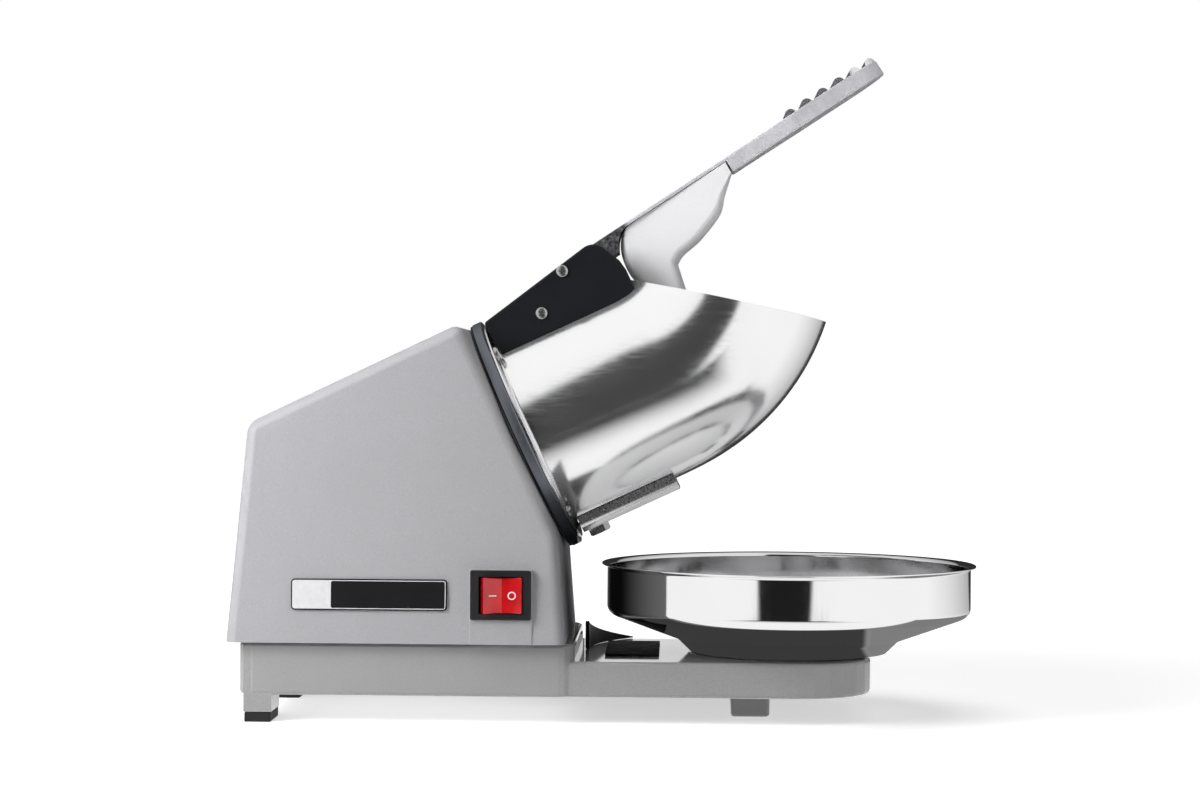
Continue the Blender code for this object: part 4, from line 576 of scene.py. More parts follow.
COPPER = ridged("winding_copper", (0.60, 0.22, 0.07), 0.3, 1500.0, (0.1, 1.0, 1.0), 0.0002, 0.8)
LAMINATIONS = ridged("lamination_steel", (0.28, 0.28, 0.30), 0.5, 1600.0, (1.0, 0.05, 0.05), 0.0001, 0.6)
PLATE_BLACK = plastic("plate_black", (0.008, 0.008, 0.009), 0.4, 0.00001, 0.2)
PLATE_SILVER = ink("plate_silver", (0.66, 0.66, 0.68), 0.35)
WHITE_MARK = ink("mark_white", (0.80, 0.80, 0.80))

# Nodes that keep their own shape; those not named here are zinc fasteners
NODE_MATERIALS = {
    "base_casting": BASE_PAINT,
    "cutter_disc": DISC_STEEL,
    "cooling_fan": BLACK_PLASTIC,
    "stator_winding": COPPER,
    **dict.fromkeys(("shaft_seal", "cord_grommet", "rear_foot_near", "rear_foot_far"), RUBBER),
    **dict.fromkeys(("motor_front_bell", "motor_rear_bell"), BELL_METAL),
    **dict.fromkeys(("stator_core", "rotor_core"), LAMINATIONS),
    **dict.fromkeys(("bottom_cover", "motor_mount_plate", "front_bearing", "rear_bearing"), MACHINED),
    **dict.fromkeys(("motor_shaft", "bracket_lug", "blade_1", "blade_2"), MACHINED),
}


# Mesh building blocks

def lifted(plane, level, outline):
    """The outline's points in space: its plane is XZ, XY or YZ, and the level is across it."""
    points = []
    for u, v in outline:
        point = dict.fromkeys("XYZ", level) | {plane[0]: u, plane[1]: v}
        points.append((point["X"], point["Y"], point["Z"]))
    return points


def inset_loop(outline, inset, shares=None):
    """The outline moved inwards by the inset, or by each point's share of it."""
    ahead = [*outline[1:], outline[0]]
    area = sum(here[0] * there[1] - there[0] * here[1] for here, there in zip(outline, ahead))
    way = 1.0 if area > 0 else -1.0
    moved = []
    for index, point in enumerate(outline):
        here = Vector(point)
        before = (here - Vector(outline[index - 1])).normalized()
        after = (Vector(ahead[index]) - here).normalized()
        first = Vector((-before.y, before.x)) * way
        second = Vector((-after.y, after.x)) * way
        mitre = max(1.0 + first.dot(second), 0.3)
        reach = inset if shares is None else inset * shares[index]
        moved.append(tuple(here + (first + second) * (reach / mitre)))
    return moved


def skin(bm, rows, closed=False):
    """Faces from each row of vertices to the next; where vertices coincide, a face has fewer corners."""
    pairs = [*zip(rows, rows[1:])]
    if closed:
        pairs.append((rows[-1], rows[0]))
    for first, second in pairs:
        for index in range(len(first)):
            following = (index + 1) % len(first)
            corners = dict.fromkeys((first[index], first[following], second[following], second[index]))
            if len(corners) > 2:
                bm.faces.new(tuple(corners))


def solid(rings):
    """A closed mesh over rings of points, from the first to the last."""
    bm = bmesh.new()
    rows = [[bm.verts.new(point) for point in ring] for ring in rings]
    bm.faces.new(rows[0])
    bm.faces.new(rows[-1])
    skin(bm, rows)
    bmesh.ops.recalc_face_normals(bm, faces=bm.faces)
    return bm


def slab(outline, start, end, plane="XZ", edge=0.0, steps=4, shares=None):
    """A solid of one outline between two levels across its plane, its rims rounded by the edge."""
    turns = [math.pi / 2 * step / steps for step in range(steps + 1)] if edge else [math.pi / 2]
    levels = [(edge * (1 - math.cos(turn)), edge * (1 - math.sin(turn))) for turn in turns]
    rows = [(start + depth, inset) for depth, inset in levels]
    rows += [(end - depth, inset) for depth, inset in reversed(levels)]
    rings = []
    for level, inset in rows:
        loop = inset_loop(outline, inset, shares) if inset > 0.0 else outline
        rings.append(lifted(plane, level, loop))
    return solid(rings)


def box(low, high):
    return slab(rectangle(low[:2], high[:2]), low[2], high[2], "XY")


def lathe(profile, segments=96, closed=False):
    """A profile of (radius, height) points turned about Z; a point on the axis becomes one vertex."""
    bm = bmesh.new()
    turns = [2 * math.pi * side / segments for side in range(segments)]
    rows = []
    for radius, height in profile:
        if radius < TINY:
            rows.append([bm.verts.new((0.0, 0.0, height))] * segments)
        else:
            rows.append([bm.verts.new((radius * math.cos(t), radius * math.sin(t), height)) for t in turns])
    skin(bm, rows, closed)
    bmesh.ops.recalc_face_normals(bm, faces=bm.faces)
    return bm


def cylinder(radius, start, end, segments=32):
    return lathe([(0.0, start), (radius, start), (radius, end), (0.0, end)], segments)


def arc(centre, radius, start_deg, end_deg, steps):
    points = []
    for step in range(steps + 1):
        angle = math.radians(start_deg + (end_deg - start_deg) * step / steps)
        points.append((centre[0] + radius * math.cos(angle), centre[1] + radius * math.sin(angle)))
    return points


def rounded(corners, steps=6, closed=True):
    """An outline from corners (x, y, radius); a corner with no radius stays sharp."""
    points = []
    last = len(corners) - 1
    for index, (x, y, radius) in enumerate(corners):
        here = Vector((x, y))
        if radius <= 0.0 or (not closed and index in (0, last)):
            points.append((x, y))
            continue
        before = (Vector(corners[index - 1][:2]) - here).normalized()
        after = (Vector(corners[(index + 1) % len(corners)][:2]) - here).normalized()
        half = before.angle(after) / 2
        reach = radius / math.tan(half)
        centre = here + (before + after).normalized() * (radius / math.sin(half))
        first = here + before * reach - centre
        sweep = first.angle_signed(here + after * reach - centre)
        for step in range(steps + 1):
            spoke = first.copy()
            spoke.rotate(Matrix.Rotation(-sweep * step / steps, 2))
            points.append(tuple(centre + spoke))
    return points


def rectangle(low, high, radius=0.0):
    (x0, y0), (x1, y1) = low, high
    return rounded([(x0, y0, radius), (x1, y0, radius), (x1, y1, radius), (x0, y1, radius)])


def through(points, steps=6):
    """A smooth run through points, ends included."""
    padded = [points[0], *points, points[-1]]
    run = [tuple(points[0])]
    for index in range(1, len(padded) - 2):
        p0, p1, p2, p3 = (Vector(p) for p in padded[index - 1:index + 3])
        for step in range(1, steps + 1):
            t = step / steps
            bend = (2 * p0 - 5 * p1 + 4 * p2 - p3) * t * t + (3 * p1 - p0 - 3 * p2 + p3) * t ** 3
            run.append(tuple(p1 + 0.5 * ((p2 - p0) * t + bend)))
    return run


def flipped(points):
    """The points mirrored from left to right, in the other order."""
    return [(-x, y) for x, y in reversed(points)]


def add(name, data):
    """A new object in the scene."""
    obj = bpy.data.objects.new(name, data)
    bpy.context.scene.collection.objects.link(obj)
    return obj


def placed(bm, matrix):
    bm.transform(matrix)
    return bm


def make(name, bm):
    mesh = bpy.data.meshes.new(name)
    bm.to_mesh(mesh)
    bm.free()
    return add(name, mesh)


def bake(obj):
    """The object with its modifiers made part of its mesh."""
    bpy.context.view_layer.update()
    shape = obj.evaluated_get(bpy.context.evaluated_depsgraph_get())
    mesh = bpy.data.meshes.new_from_object(shape)
    mesh.name = obj.name
    obj.modifiers.clear()
    obj.data = mesh
    return obj


def round_edges(obj, width, segments=3, limit_deg=40.0):
    bevel = obj.modifiers.new("edges", "BEVEL")
    bevel.width = width
    bevel.segments = segments
    bevel.limit_method = "ANGLE"
    bevel.angle_limit = math.radians(limit_deg)
    bevel.use_clamp_overlap = True
    return bake(obj)


def walled(obj, thickness):
    """The skin with a wall set inwards."""
    wall = obj.modifiers.new("wall", "SOLIDIFY")
    wall.thickness = thickness
    wall.offset = -1.0
    wall.use_even_offset = True
    return bake(obj)


def combine(obj, operation, *forms):
    """Joins, cuts or intersects the object with meshes, which are used up."""
    others = [make("form", form) for form in forms]
    for other in others:
        boolean = obj.modifiers.new("boolean", "BOOLEAN")
        boolean.operation = operation
        boolean.solver = "EXACT"
        boolean.object = other
    bake(obj)
    for other in others:
        bpy.data.objects.remove(other)


def cut(obj, *forms):
    combine(obj, "DIFFERENCE", *forms)


def join(obj, *forms):
    combine(obj, "UNION", *forms)


def dress(obj, material, smooth_deg):
    """Gives an object one material and smooth shading, apart from its sharp edges."""
    obj.data.materials.clear()
    obj.data.materials.append(material)
    obj.data.shade_smooth()
    obj.data.set_sharp_from_angle(angle=math.radians(smooth_deg))
    obj.modifiers.new("even_normals", "WEIGHTED_NORMAL").keep_sharp = True


def piece(obj, material, slot, *replaced, body="frame", place=None, smooth_deg=35.0):
    """Puts an object in its place, dresses it and lets it ride on its body."""
    if place is not None:
        obj.data.transform(place)
    dress(obj, material, smooth_deg)
    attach(obj, body)
    if replaced:
        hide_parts(*replaced)


# Screws

def cross_screw(node, radius, length, head_radius, head_height, matrix, body="frame", flush=False):
    """A screw with a cross recess; its head's underside is at Z 0 and its shank goes down."""
    if flush:
        top = FLUSH_PROUD
        head = [(0.0, top), (head_radius * 0.94, top), (head_radius, 0.0), (head_radius, -top)]
    else:
        top = head_height
        dome = arc((0.0, 0.0), 1.0, 90.0, 0.0, 10)
        head = [(head_radius * x, top * (HEAD_RIM + (1 - HEAD_RIM) * z)) for x, z in dome]
        head += [(head_radius, top * 0.08), (head_radius * 0.97, 0.0)]
    profile = [*head, (radius, -FLUSH_PROUD if flush else 0.0), (radius, -length), (0.0, -length)]
    screw = make(f"{node}_finished", lathe(profile, 32))
    arm = head_radius * RECESS_REACH
    thin = head_radius * RECESS_HALF_WIDTH
    low = top - head_height * RECESS_DEPTH
    cut(screw, *[box((-u, -v, low), (u, v, top + head_height)) for u, v in ((arm, thin), (thin, arm))])
    piece(screw, ZINC, "zinc_fastener", node, body=body, place=matrix)


def lug_screw_up():
    """The screw passes just above the barrel where it leaves the lug."""
    at = BRACKET_HALF_WIDTH + GAP - LUG_SCREW_LENGTH
    return math.sqrt((BARREL_RADIUS + GAP) ** 2 - at ** 2) + LUG_SCREW_RISE


def screws():
    for number, angle in enumerate(RING_SCREW_ANGLES, 1):
        across = RING_SCREW_CIRCLE * math.sin(math.radians(angle))
        up = RING_SCREW_CIRCLE * math.cos(math.radians(angle))
        seat = HEAD @ shifted(FLANGE_FACE + GAP, across, up) @ ALONG_X @ turned(angle * 0.7, "Z")
        cross_screw(f"ring_screw_{number}", *RING_SCREW, seat)
    for node, side, along, up, length, spin_deg in (
        ("bracket_screw_near", -1, LUG_SCREW_ALONG, lug_screw_up(), LUG_SCREW_LENGTH, 28.0),
        ("bracket_screw_far", 1, LUG_SCREW_ALONG, lug_screw_up(), LUG_SCREW_LENGTH, 51.0),
        ("pivot_screw", -1, PIVOT_ALONG, PIVOT_UP, PIVOT_SCREW_LENGTH, 63.0),
    ):
        seat = shifted(along, side * (BRACKET_HALF_WIDTH + GAP), up) @ turned(-90.0 * side, "X")
        cross_screw(node, SMALL_SCREW_RADIUS, length, *SMALL_HEAD, HEAD @ seat @ turned(spin_deg, "Z"))
    for number, along in enumerate(PRESSER_SCREW_PLACES, 1):
        seat = LEVER @ shifted(along, 0.0, ARM_TOP + GAP)
        sizes = (SMALL_SCREW_RADIUS, PRESSER_SCREW_LENGTH, *SMALL_HEAD)
        cross_screw(f"presser_screw_{number}", *sizes, seat, "lever", flush=True)


# Casing

def casing_outline(bottom):
    """The casing's side view, from the bottom corner at the back round to the roof's back corner."""
    chin = HEAD @ Vector((0.0, 0.0, -FACE_DOWN))
    brow = HEAD @ Vector((0.0, 0.0, FACE_UP))
    slope = math.radians(ROOF_SLOPE_DEG)
    roof_back = (brow.x - ROOF_LENGTH * math.cos(slope), brow.z - ROOF_LENGTH * math.sin(slope))
    floor = [(roof_back[0] - BACK_RAKE, bottom), (chin.x + CHIN_RAKE, bottom)]
    return [*floor, (chin.x, chin.z), (brow.x, brow.z), roof_back]


def switch_block(length, height, start, end, corner=0.0, edge=0.0):
    """A block about the switch's middle, between two levels of Y."""
    low = (SWITCH_X - length / 2, SWITCH_Z - height / 2)
    high = (SWITCH_X + length / 2, SWITCH_Z + height / 2)
    return slab(rectangle(low, high, corner), start, end, edge=edge)


def casing():
    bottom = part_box("casing")[0].z
    slope = math.tan(math.radians(CASING_DRAFT_DEG))
    bm = slab(casing_outline(bottom), -1.0, 1.0)
    for vert in bm.verts:
        vert.co.y = math.copysign(CASING_HALF_WIDTH - (vert.co.z - bottom) * slope, vert.co.y)
    floor = [face for face in bm.faces if all(abs(v.co.z - bottom) < TINY for v in face.verts)]
    for vert in floor[0].verts:
        vert.co.z -= TRIM
        vert.co.y += math.copysign(TRIM * slope, vert.co.y)
    bmesh.ops.delete(bm, geom=floor, context="FACES")
    body = walled(round_edges(make("casing_shell", bm), CASING_EDGE, 8, 12.0), CASING_WALL)
    outer = -CASING_HALF_WIDTH - PAD_PROUD
    left = SWITCH_X - BEZEL_LENGTH / 2 - PAD_MARGIN
    right = SWITCH_X + BEZEL_LENGTH / 2 + PAD_MARGIN
    low = bottom - TRIM / 2
    top = SWITCH_Z + BEZEL_HEIGHT / 2 + PAD_MARGIN
    pad = rounded([(left, low, 0.0), (right, low, 0.0), (right, top, PAD_CORNER), (left, top, PAD_CORNER)])
    join(body, slab(pad, outer, outer + CASING_WALL * 2, edge=PAD_CORNER / 3))
    trim = box((-1.0, -1.0, bottom - TRIM * 2), (1.0, 1.0, bottom))
    sizes = (SWITCH_BODY_LENGTH + GAP * 2, SWITCH_BODY_HEIGHT + GAP * 2)
    opening = switch_block(*sizes, outer - TRIM, outer + TRIM)
    shaft_hole = placed(cylinder(CASING_HOLE_RADIUS, -TRIM, TRIM, 48), HEAD @ ALONG_X)
    cut(body, trim, opening, shaft_hole)
    piece(body, CASING_PAINT, "silver_paint", "casing", smooth_deg=28.0)


def nameplate():
    """A bare plate: black, with a silver border line and a silver field at its left."""
    foot = shifted(0.0, -CASING_HALF_WIDTH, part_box("casing")[0].z)
    wall = foot @ turned(-CASING_DRAFT_DEG, "X")
    middle = Vector((NAMEPLATE_X, NAMEPLATE_ABOVE))
    reach = Vector((NAMEPLATE_LENGTH / 2, NAMEPLATE_HEIGHT / 2))
    low = middle - reach
    high = middle + reach
    front = -GAP - NAMEPLATE_THICKNESS
    plate = slab(rectangle(low, high, NAMEPLATE_CORNER), front, -GAP, edge=GAP)
    piece(make("nameplate_body", plate), PLATE_BLACK, "nameplate_black", "nameplate", place=wall)
    inset = Vector((NAMEPLATE_BORDER, NAMEPLATE_BORDER))
    corner = NAMEPLATE_CORNER - NAMEPLATE_BORDER
    line = slab(rectangle(low + inset, high - inset, corner), front - BORDER_PROUD, front + BORDER_PROUD)
    line = make("nameplate_silver", line)
    inner = inset + Vector((BORDER_WIDTH, BORDER_WIDTH))
    field = rectangle((low.x + FIELD_LENGTH, low.y + inner.y), high - inner, corner - BORDER_WIDTH)
    cut(line, slab(field, front - TRIM, front + TRIM))
    piece(line, PLATE_SILVER, "nameplate_black", place=wall)


# Switch

def switch():
    face = -CASING_HALF_WIDTH - PAD_PROUD - GAP
    front = face - BEZEL_THICKNESS
    inside = face - BEZEL_THICKNESS / 2
    bezel = switch_block(BEZEL_LENGTH, BEZEL_HEIGHT, front, face, BEZEL_CORNER, BEZEL_CORNER / 2)
    bezel = make("switch_bezel", bezel)
    join(bezel, switch_block(SWITCH_BODY_LENGTH, SWITCH_BODY_HEIGHT, inside, face + SWITCH_BODY_DEPTH))
    cut(bezel, switch_block(POCKET_LENGTH, POCKET_HEIGHT, front - TRIM, front + POCKET_DEPTH))
    piece(bezel, BLACK_PLASTIC, "black_plastic", "switch_housing")

    reach = ROCKER_PIN_DEPTH + BEZEL_THICKNESS
    pivot = shifted(SWITCH_X, front + reach, SWITCH_Z) @ turned(ROCKER_TILT_DEG, "Z")
    end = ROCKER_END
    valley = -reach - ROCKER_VALLEY
    crest = -reach - ROCKER_PROUD
    half_way = (valley + crest) / 2 + ROCKER_DIP
    rise = [(end * 0.12, valley - ROCKER_DIP / 3), (end / 2, half_way), (end, crest)]
    back = [(end + GAP * 2, -reach / 2), (end - GAP * 4, ROCKER_BACK)]
    outline = [*through([*flipped(rise), (0.0, valley), *rise], 5), *back, *flipped(back)]
    half = POCKET_HEIGHT / 2 - GAP
    key = make("rocker_key", slab(outline, -half, half, "XY", ROCKER_EDGE))
    piece(key, RED, "red_plastic", "rocker", body="rocker", place=pivot, smooth_deg=40.0)

    deep = MARK_DEPTH
    dash = slab(rectangle((-DASH_HALF, -MARK_LINE / 2), (DASH_HALF, MARK_LINE / 2)), -deep, deep, "XY")
    inner = CIRCLE_RADIUS - MARK_LINE
    ring = [(CIRCLE_RADIUS, -deep), (CIRCLE_RADIUS, deep), (inner, deep), (inner, -deep)]
    lean = math.atan2(valley - crest, end)
    marks = (("rocker_mark_on", -1, dash), ("rocker_mark_off", 1, lathe(ring, 48, closed=True)))
    for name, side, mark in marks:
        seat = shifted(side * end / 2, half_way, 0.0) @ Matrix.Rotation(-lean * side, 4, "Z")
        place = pivot @ seat @ turned(-90.0, "X")
        piece(make(name, mark), WHITE_MARK, "red_plastic", body="rocker", place=place)


# Barrel, ring and spout

def mouth_tip():
    turn = math.radians(MOUTH_TURN_DEG)
    reach = BEND_RADIUS + BARREL_RADIUS
    return Vector((BARREL_STRAIGHT + reach * math.sin(turn), 0.0, BEND_RADIUS - reach * math.cos(turn)))


def cut_window(bm, low, high):
    """Takes the skin inside a box away, with its faces cut along the box's sides."""
    def touches(face):
        spans = [sorted(vert.co[axis] for vert in face.verts) for axis in range(3)]
        return all(a - TINY <= span[-1] and span[0] <= b + TINY for a, span, b in zip(low, spans, high))

    for axis in range(3):
        for level in (low[axis], high[axis]):
            normal = Vector((0.0, 0.0, 0.0))
            normal[axis] = 1.0
            faces = [face for face in bm.faces if touches(face)]
            edges = {edge for face in faces for edge in face.edges}
            verts = {vert for face in faces for vert in face.verts}
            geometry = [*faces, *edges, *verts]
            bmesh.ops.bisect_plane(bm, geom=geometry, plane_co=normal * level, plane_no=normal)
    def within(face):
        return all(a < middle < b for a, middle, b in zip(low, face.calc_center_median(), high))

    bmesh.ops.delete(bm, geom=[face for face in bm.faces if within(face)], context="FACES")


def barrel_path(start):
    """Places along the barrel's middle line, each with its turn; the bend sets in little by little."""
    end = BARREL_STRAIGHT + BEND_RADIUS * math.radians(BEND_SWEEP_DEG)
    step = (end - start) / PATH_STEPS
    x, z, turn = start, 0.0, 0.0
    path = [(x, z, turn)]
    for index in range(PATH_STEPS):
        into = (start + (index + 0.5) * step - BARREL_STRAIGHT) / BEND_EASE
        share = min(1.0, max(0.0, (into + 1.0) / 2))
        bend = share * share * (3.0 - 2.0 * share) * step / BEND_RADIUS
        x += math.cos(turn + bend / 2) * step
        z += math.sin(turn + bend / 2) * step
        turn += bend
        path.append((x, z, turn))
    return path


def bent_tube(radius, start):
    """Rings of points for a tube of this radius along the barrel's path, from a place on its straight run."""
    angles = [2 * math.pi * side / BARREL_SIDES for side in range(BARREL_SIDES)]
    circle = [(radius * math.cos(angle), radius * math.sin(angle)) for angle in angles]
    rings = []
    for x, z, turn in barrel_path(start):
        rings.append([(x - up * math.sin(turn), across, z + up * math.cos(turn)) for up, across in circle])
    return rings


def turned_piece(name, profile, material, slot, node, smooth_deg=35.0):
    """A ring about the head's axis, from its closed profile."""
    ring = make(name, lathe(profile, BARREL_SIDES, closed=True))
    piece(ring, material, slot, node, place=HEAD @ ALONG_X, smooth_deg=smooth_deg)


def barrel():
    bm = bmesh.new()
    skin(bm, [[bm.verts.new(point) for point in ring] for ring in bent_tube(BARREL_RADIUS, FLANGE_AT + GAP)])
    slope = math.radians(MOUTH_SLOPE_DEG)
    bmesh.ops.bisect_plane(
        bm, geom=bm.verts[:] + bm.edges[:] + bm.faces[:], plane_co=mouth_tip(),
        plane_no=(math.sin(slope), 0.0, math.cos(slope)), clear_outer=True,
    )
    half = HUB_HALF_WIDTH + SLOT_CLEARANCE
    cut_window(bm, (NOTCH_START, -half, BARREL_RADIUS / 2), (1.0, half, 1.0))
    half = DROP_SLOT_HALF_WIDTH
    cut_window(bm, (DROP_SLOT_START, -half, -1.0), (DROP_SLOT_END, half, -BARREL_RADIUS / 2))
    bmesh.ops.recalc_face_normals(bm, faces=bm.faces)
    bm.normal_update()
    if sum(face.normal.dot(face.calc_center_median() * Vector((0, 1, 1))) for face in bm.faces) < 0:
        bmesh.ops.reverse_faces(bm, faces=bm.faces)
    shell = walled(make("barrel_skin", placed(bm, HEAD)), BARREL_WALL)
    piece(shell, BARREL_STEEL, "polished_stainless", "barrel")

    inner = BARREL_RADIUS - BARREL_WALL
    bend = BARREL_WALL * 1.6
    profile = [
        (inner, FLANGE_AT),
        (FLANGE_RADIUS, FLANGE_AT),
        (FLANGE_RADIUS, FLANGE_FACE - FLANGE_EDGE),
        (FLANGE_RADIUS - FLANGE_EDGE, FLANGE_FACE),
        *arc((BARREL_RADIUS + bend, FLANGE_FACE + bend), bend, 270.0, 180.0, 6),
        (inner + GAP, FLANGE_FACE + bend),
        (inner, FLANGE_FACE),
    ]
    turned_piece("barrel_flange", profile, SPOUT_STEEL, "polished_stainless", "barrel")


def mounting_ring():
    face = RING_AT + RING_THICKNESS
    worn = RING_EDGE * 0.3
    profile = [
        (RING_RADIUS - RING_EDGE, face), (RING_RADIUS - worn, face - worn), (RING_RADIUS, face - RING_EDGE),
        (RING_RADIUS, RING_AT + GAP), (RING_RADIUS - GAP, RING_AT), (SEAL_SEAT_RADIUS, RING_AT),
        (SEAL_SEAT_RADIUS, face),
    ]
    turned_piece("mounting_ring_turned", profile, RING_METAL, "ring_metal", "mounting_ring", 50.0)
    outer = RING_RADIUS - GASKET_INSET
    top = GAP + GASKET_THICKNESS
    profile = [(outer, GAP), (outer, top), (CASING_HOLE_RADIUS, top), (CASING_HOLE_RADIUS, GAP)]
    turned_piece("ring_gasket_cut", profile, RUBBER, "black_rubber", "ring_gasket")


def spout_section(inset):
    low = -BARREL_RADIUS - SPOUT_DROP + inset
    side = SPOUT_HALF_WIDTH - inset
    corner = SPOUT_CORNER - inset
    top = -BARREL_RADIUS / 2
    return rounded([(-side, low, corner), (side, low, corner), (side, top, 0.0), (-side, top, 0.0)])


def spout():
    body = make("spout_shell", slab(spout_section(0.0), SPOUT_START, SPOUT_END, "YZ"))
    channel = slab(spout_section(SPOUT_WALL), SPOUT_FOOT_END, SPOUT_END + TRIM, "YZ")
    around = cylinder(BARREL_RADIUS + GAP, -TRIM, SPOUT_END + TRIM, BARREL_SIDES)
    cut(body, channel, placed(around, ALONG_X))
    piece(round_edges(body, GAP, 2, 50.0), SPOUT_STEEL, "polished_stainless", "discharge_spout", place=HEAD)

    radius = SPOUT_HEX_ACROSS / math.sqrt(3)
    low = -BARREL_RADIUS - SPOUT_DROP - GAP
    top = low - SPOUT_HEX_HEIGHT
    chamfer = radius - SPOUT_HEX_ACROSS / 2
    head = make("spout_bolt_finished", slab(arc((0.0, 0.0), radius, 0.0, 300.0, 5), top, low, "XY"))
    lens = [
        (0.0, top - GAP / 3), (SPOUT_HEX_ACROSS / 2 * 0.96, top - GAP / 3), (radius + GAP, top + chamfer),
        (radius + GAP, low + GAP), (0.0, low + GAP),
    ]
    combine(head, "INTERSECT", lathe(lens, 48))
    join(head, cylinder(SPOUT_BOLT_RADIUS, low - GAP, low + SPOUT_SHANK))
    piece(head, ZINC, "zinc_fastener", "spout_bolt", place=HEAD @ shifted(SPOUT_BOLT_AT, 0.0, 0.0))


# Bracket

def bracket_outline():
    low = BARREL_RADIUS / 2
    lean = GAP * 4
    return rounded([
        (BRACKET_START, low, 0.0),
        (BRACKET_END, low, 0.0),
        (BRACKET_END, BARREL_RADIUS + lean, 0.0),
        (BRACKET_END - lean, (BARREL_RADIUS + PIVOT_UP) / 2, BRACKET_SHOULDER / 2),
        (BRACKET_END - BRACKET_SHOULDER, BARREL_RADIUS + BRACKET_FRONT_RISE, BRACKET_TOP_RADIUS),
        (BRACKET_START, BARREL_RADIUS + BRACKET_BACK_RISE, GAP * 5),
    ], 12)


def cross_rod(radius, half_length, along=0.0, up=0.0, segments=32):
    """A cutter from side to side."""
    place = shifted(along, 0.0, up) @ turned(90.0, "X")
    return placed(cylinder(radius, -half_length, half_length, segments), place)


def bracket():
    half = BRACKET_HALF_WIDTH
    body = make("hinge_bracket_moulded", slab(bracket_outline(), -half, half, edge=BRACKET_EDGE))
    side = HUB_HALF_WIDTH + SLOT_CLEARANCE
    slot = box((BRACKET_WEB_END, -side, 0.0), (BRACKET_END + TRIM, side, PIVOT_UP + TRIM * 2))
    side = LUG_HALF_WIDTH + GAP
    pocket = box((LUG_START - GAP, -side, 0.0), (LUG_END + GAP, side, BARREL_RADIUS + LUG_HEIGHT + GAP))
    cut(body, slot, pocket, solid(bent_tube(BARREL_RADIUS + GAP, 0.0)))
    reach = BRACKET_HALF_WIDTH + TRIM
    pin_hole = cross_rod(PIVOT_PIN_RADIUS + GAP, reach, PIVOT_ALONG, PIVOT_UP)
    screw_hole = cross_rod(SMALL_SCREW_RADIUS + SCREW_CLEARANCE, reach, LUG_SCREW_ALONG, lug_screw_up())
    cut(body, pin_hole, screw_hole)
    piece(body, BLACK_BRACKET, "black_plastic", "hinge_bracket", place=HEAD)


# Lever and presser

def root_curve(lowest, back, top, steps):
    """The hollow curve from the neck's back up to the arm's skin, from the height lowest on."""
    first = math.asin((NECK_DROP + lowest) / (NECK_DROP + top))
    points = []
    for step in range(steps + 1):
        turn = first + (math.pi / 2 - first) * step / steps
        x = ROOT_LENGTH - (ROOT_LENGTH - NECK_BACK) * math.cos(turn) - back
        points.append((x, -NECK_DROP + (NECK_DROP + top) * math.sin(turn)))
    return points


def arm_plan(start):
    """The arm seen from above, from the place start to its tip."""
    side = through([
        (start, HUB_HALF_WIDTH),
        (ROOT_LENGTH + ROOT_STRAIGHT, HUB_HALF_WIDTH),
        (GRIP_START - WAIST_REACH, WAIST_HALF_WIDTH),
        (GRIP_START + WAIST_REACH, WAIST_HALF_WIDTH),
        (ARM_REACH - GRIP_HALF_WIDTH * 3, GRIP_HALF_WIDTH),
    ], 8)
    side += arc((ARM_REACH - GRIP_HALF_WIDTH, 0.0), GRIP_HALF_WIDTH, 90.0, 0.0, 24)
    return [*side, *[(x, -y) for x, y in reversed(side[:-1])]]


def lever_arm():
    skin_at = ARM_TOP - SKIN_THICKNESS
    strip = slab(arm_plan(ROOT_LENGTH - SKIN_LAP), skin_at, ARM_TOP, "XY", ARM_EDGE, 2)
    arm = make("lever_arm_finished", strip)
    grip_plan = [(x, y) for x, y in arm_plan(ROOT_LENGTH) if x > GRIP_START - TINY]
    grip = slab(grip_plan, -ARM_BOTTOM, ARM_TOP, "XY", GRIP_EDGE)
    lap_end = ROOT_LENGTH + ROOT_LAP
    outline = [
        (HUB_RISE_END, ARM_TOP),
        *arc((0.0, 0.0), HUB_TOP_RADIUS, 90.0, 190.0, 10),
        *arc((0.0, 0.0), HUB_RADIUS, 225.0, 270.0, 10),
        *root_curve(-HUB_RADIUS, ROOT_CLEARANCE, skin_at, 16),
        (lap_end, skin_at),
        (lap_end, ARM_TOP),
    ]
    join(arm, grip, slab(outline, -HUB_HALF_WIDTH, HUB_HALF_WIDTH, edge=ARM_EDGE, steps=2))
    cut(arm, cross_rod(PIVOT_PIN_RADIUS + GAP, HUB_HALF_WIDTH + TRIM, segments=24))
    piece(arm, ARM_METAL, "bare_aluminium", "lever_arm", body="lever", place=LEVER)

    bars = []
    half = GRIP_HALF_WIDTH + GAP
    for ridge in range(RIDGE_COUNT):
        middle = (ARM_REACH - RIDGE_FROM_TIP - ridge * RIDGE_PITCH, ARM_TOP - GAP)
        bars.append(slab(arc(middle, RIDGE_RADIUS, 0.0, 180.0, 24), -half, half))
    ridges = make("grip_ridges", bars[0])
    join(ridges, *bars[1:])
    combine(ridges, "INTERSECT", slab(inset_loop(grip_plan, GAP), 0.0, ARM_TOP + RIDGE_RADIUS * 2, "XY"))
    round_edges(ridges, RIDGE_EDGE, 5, 60.0)
    piece(ridges, RIDGE_METAL, "bare_aluminium", body="lever", place=LEVER)


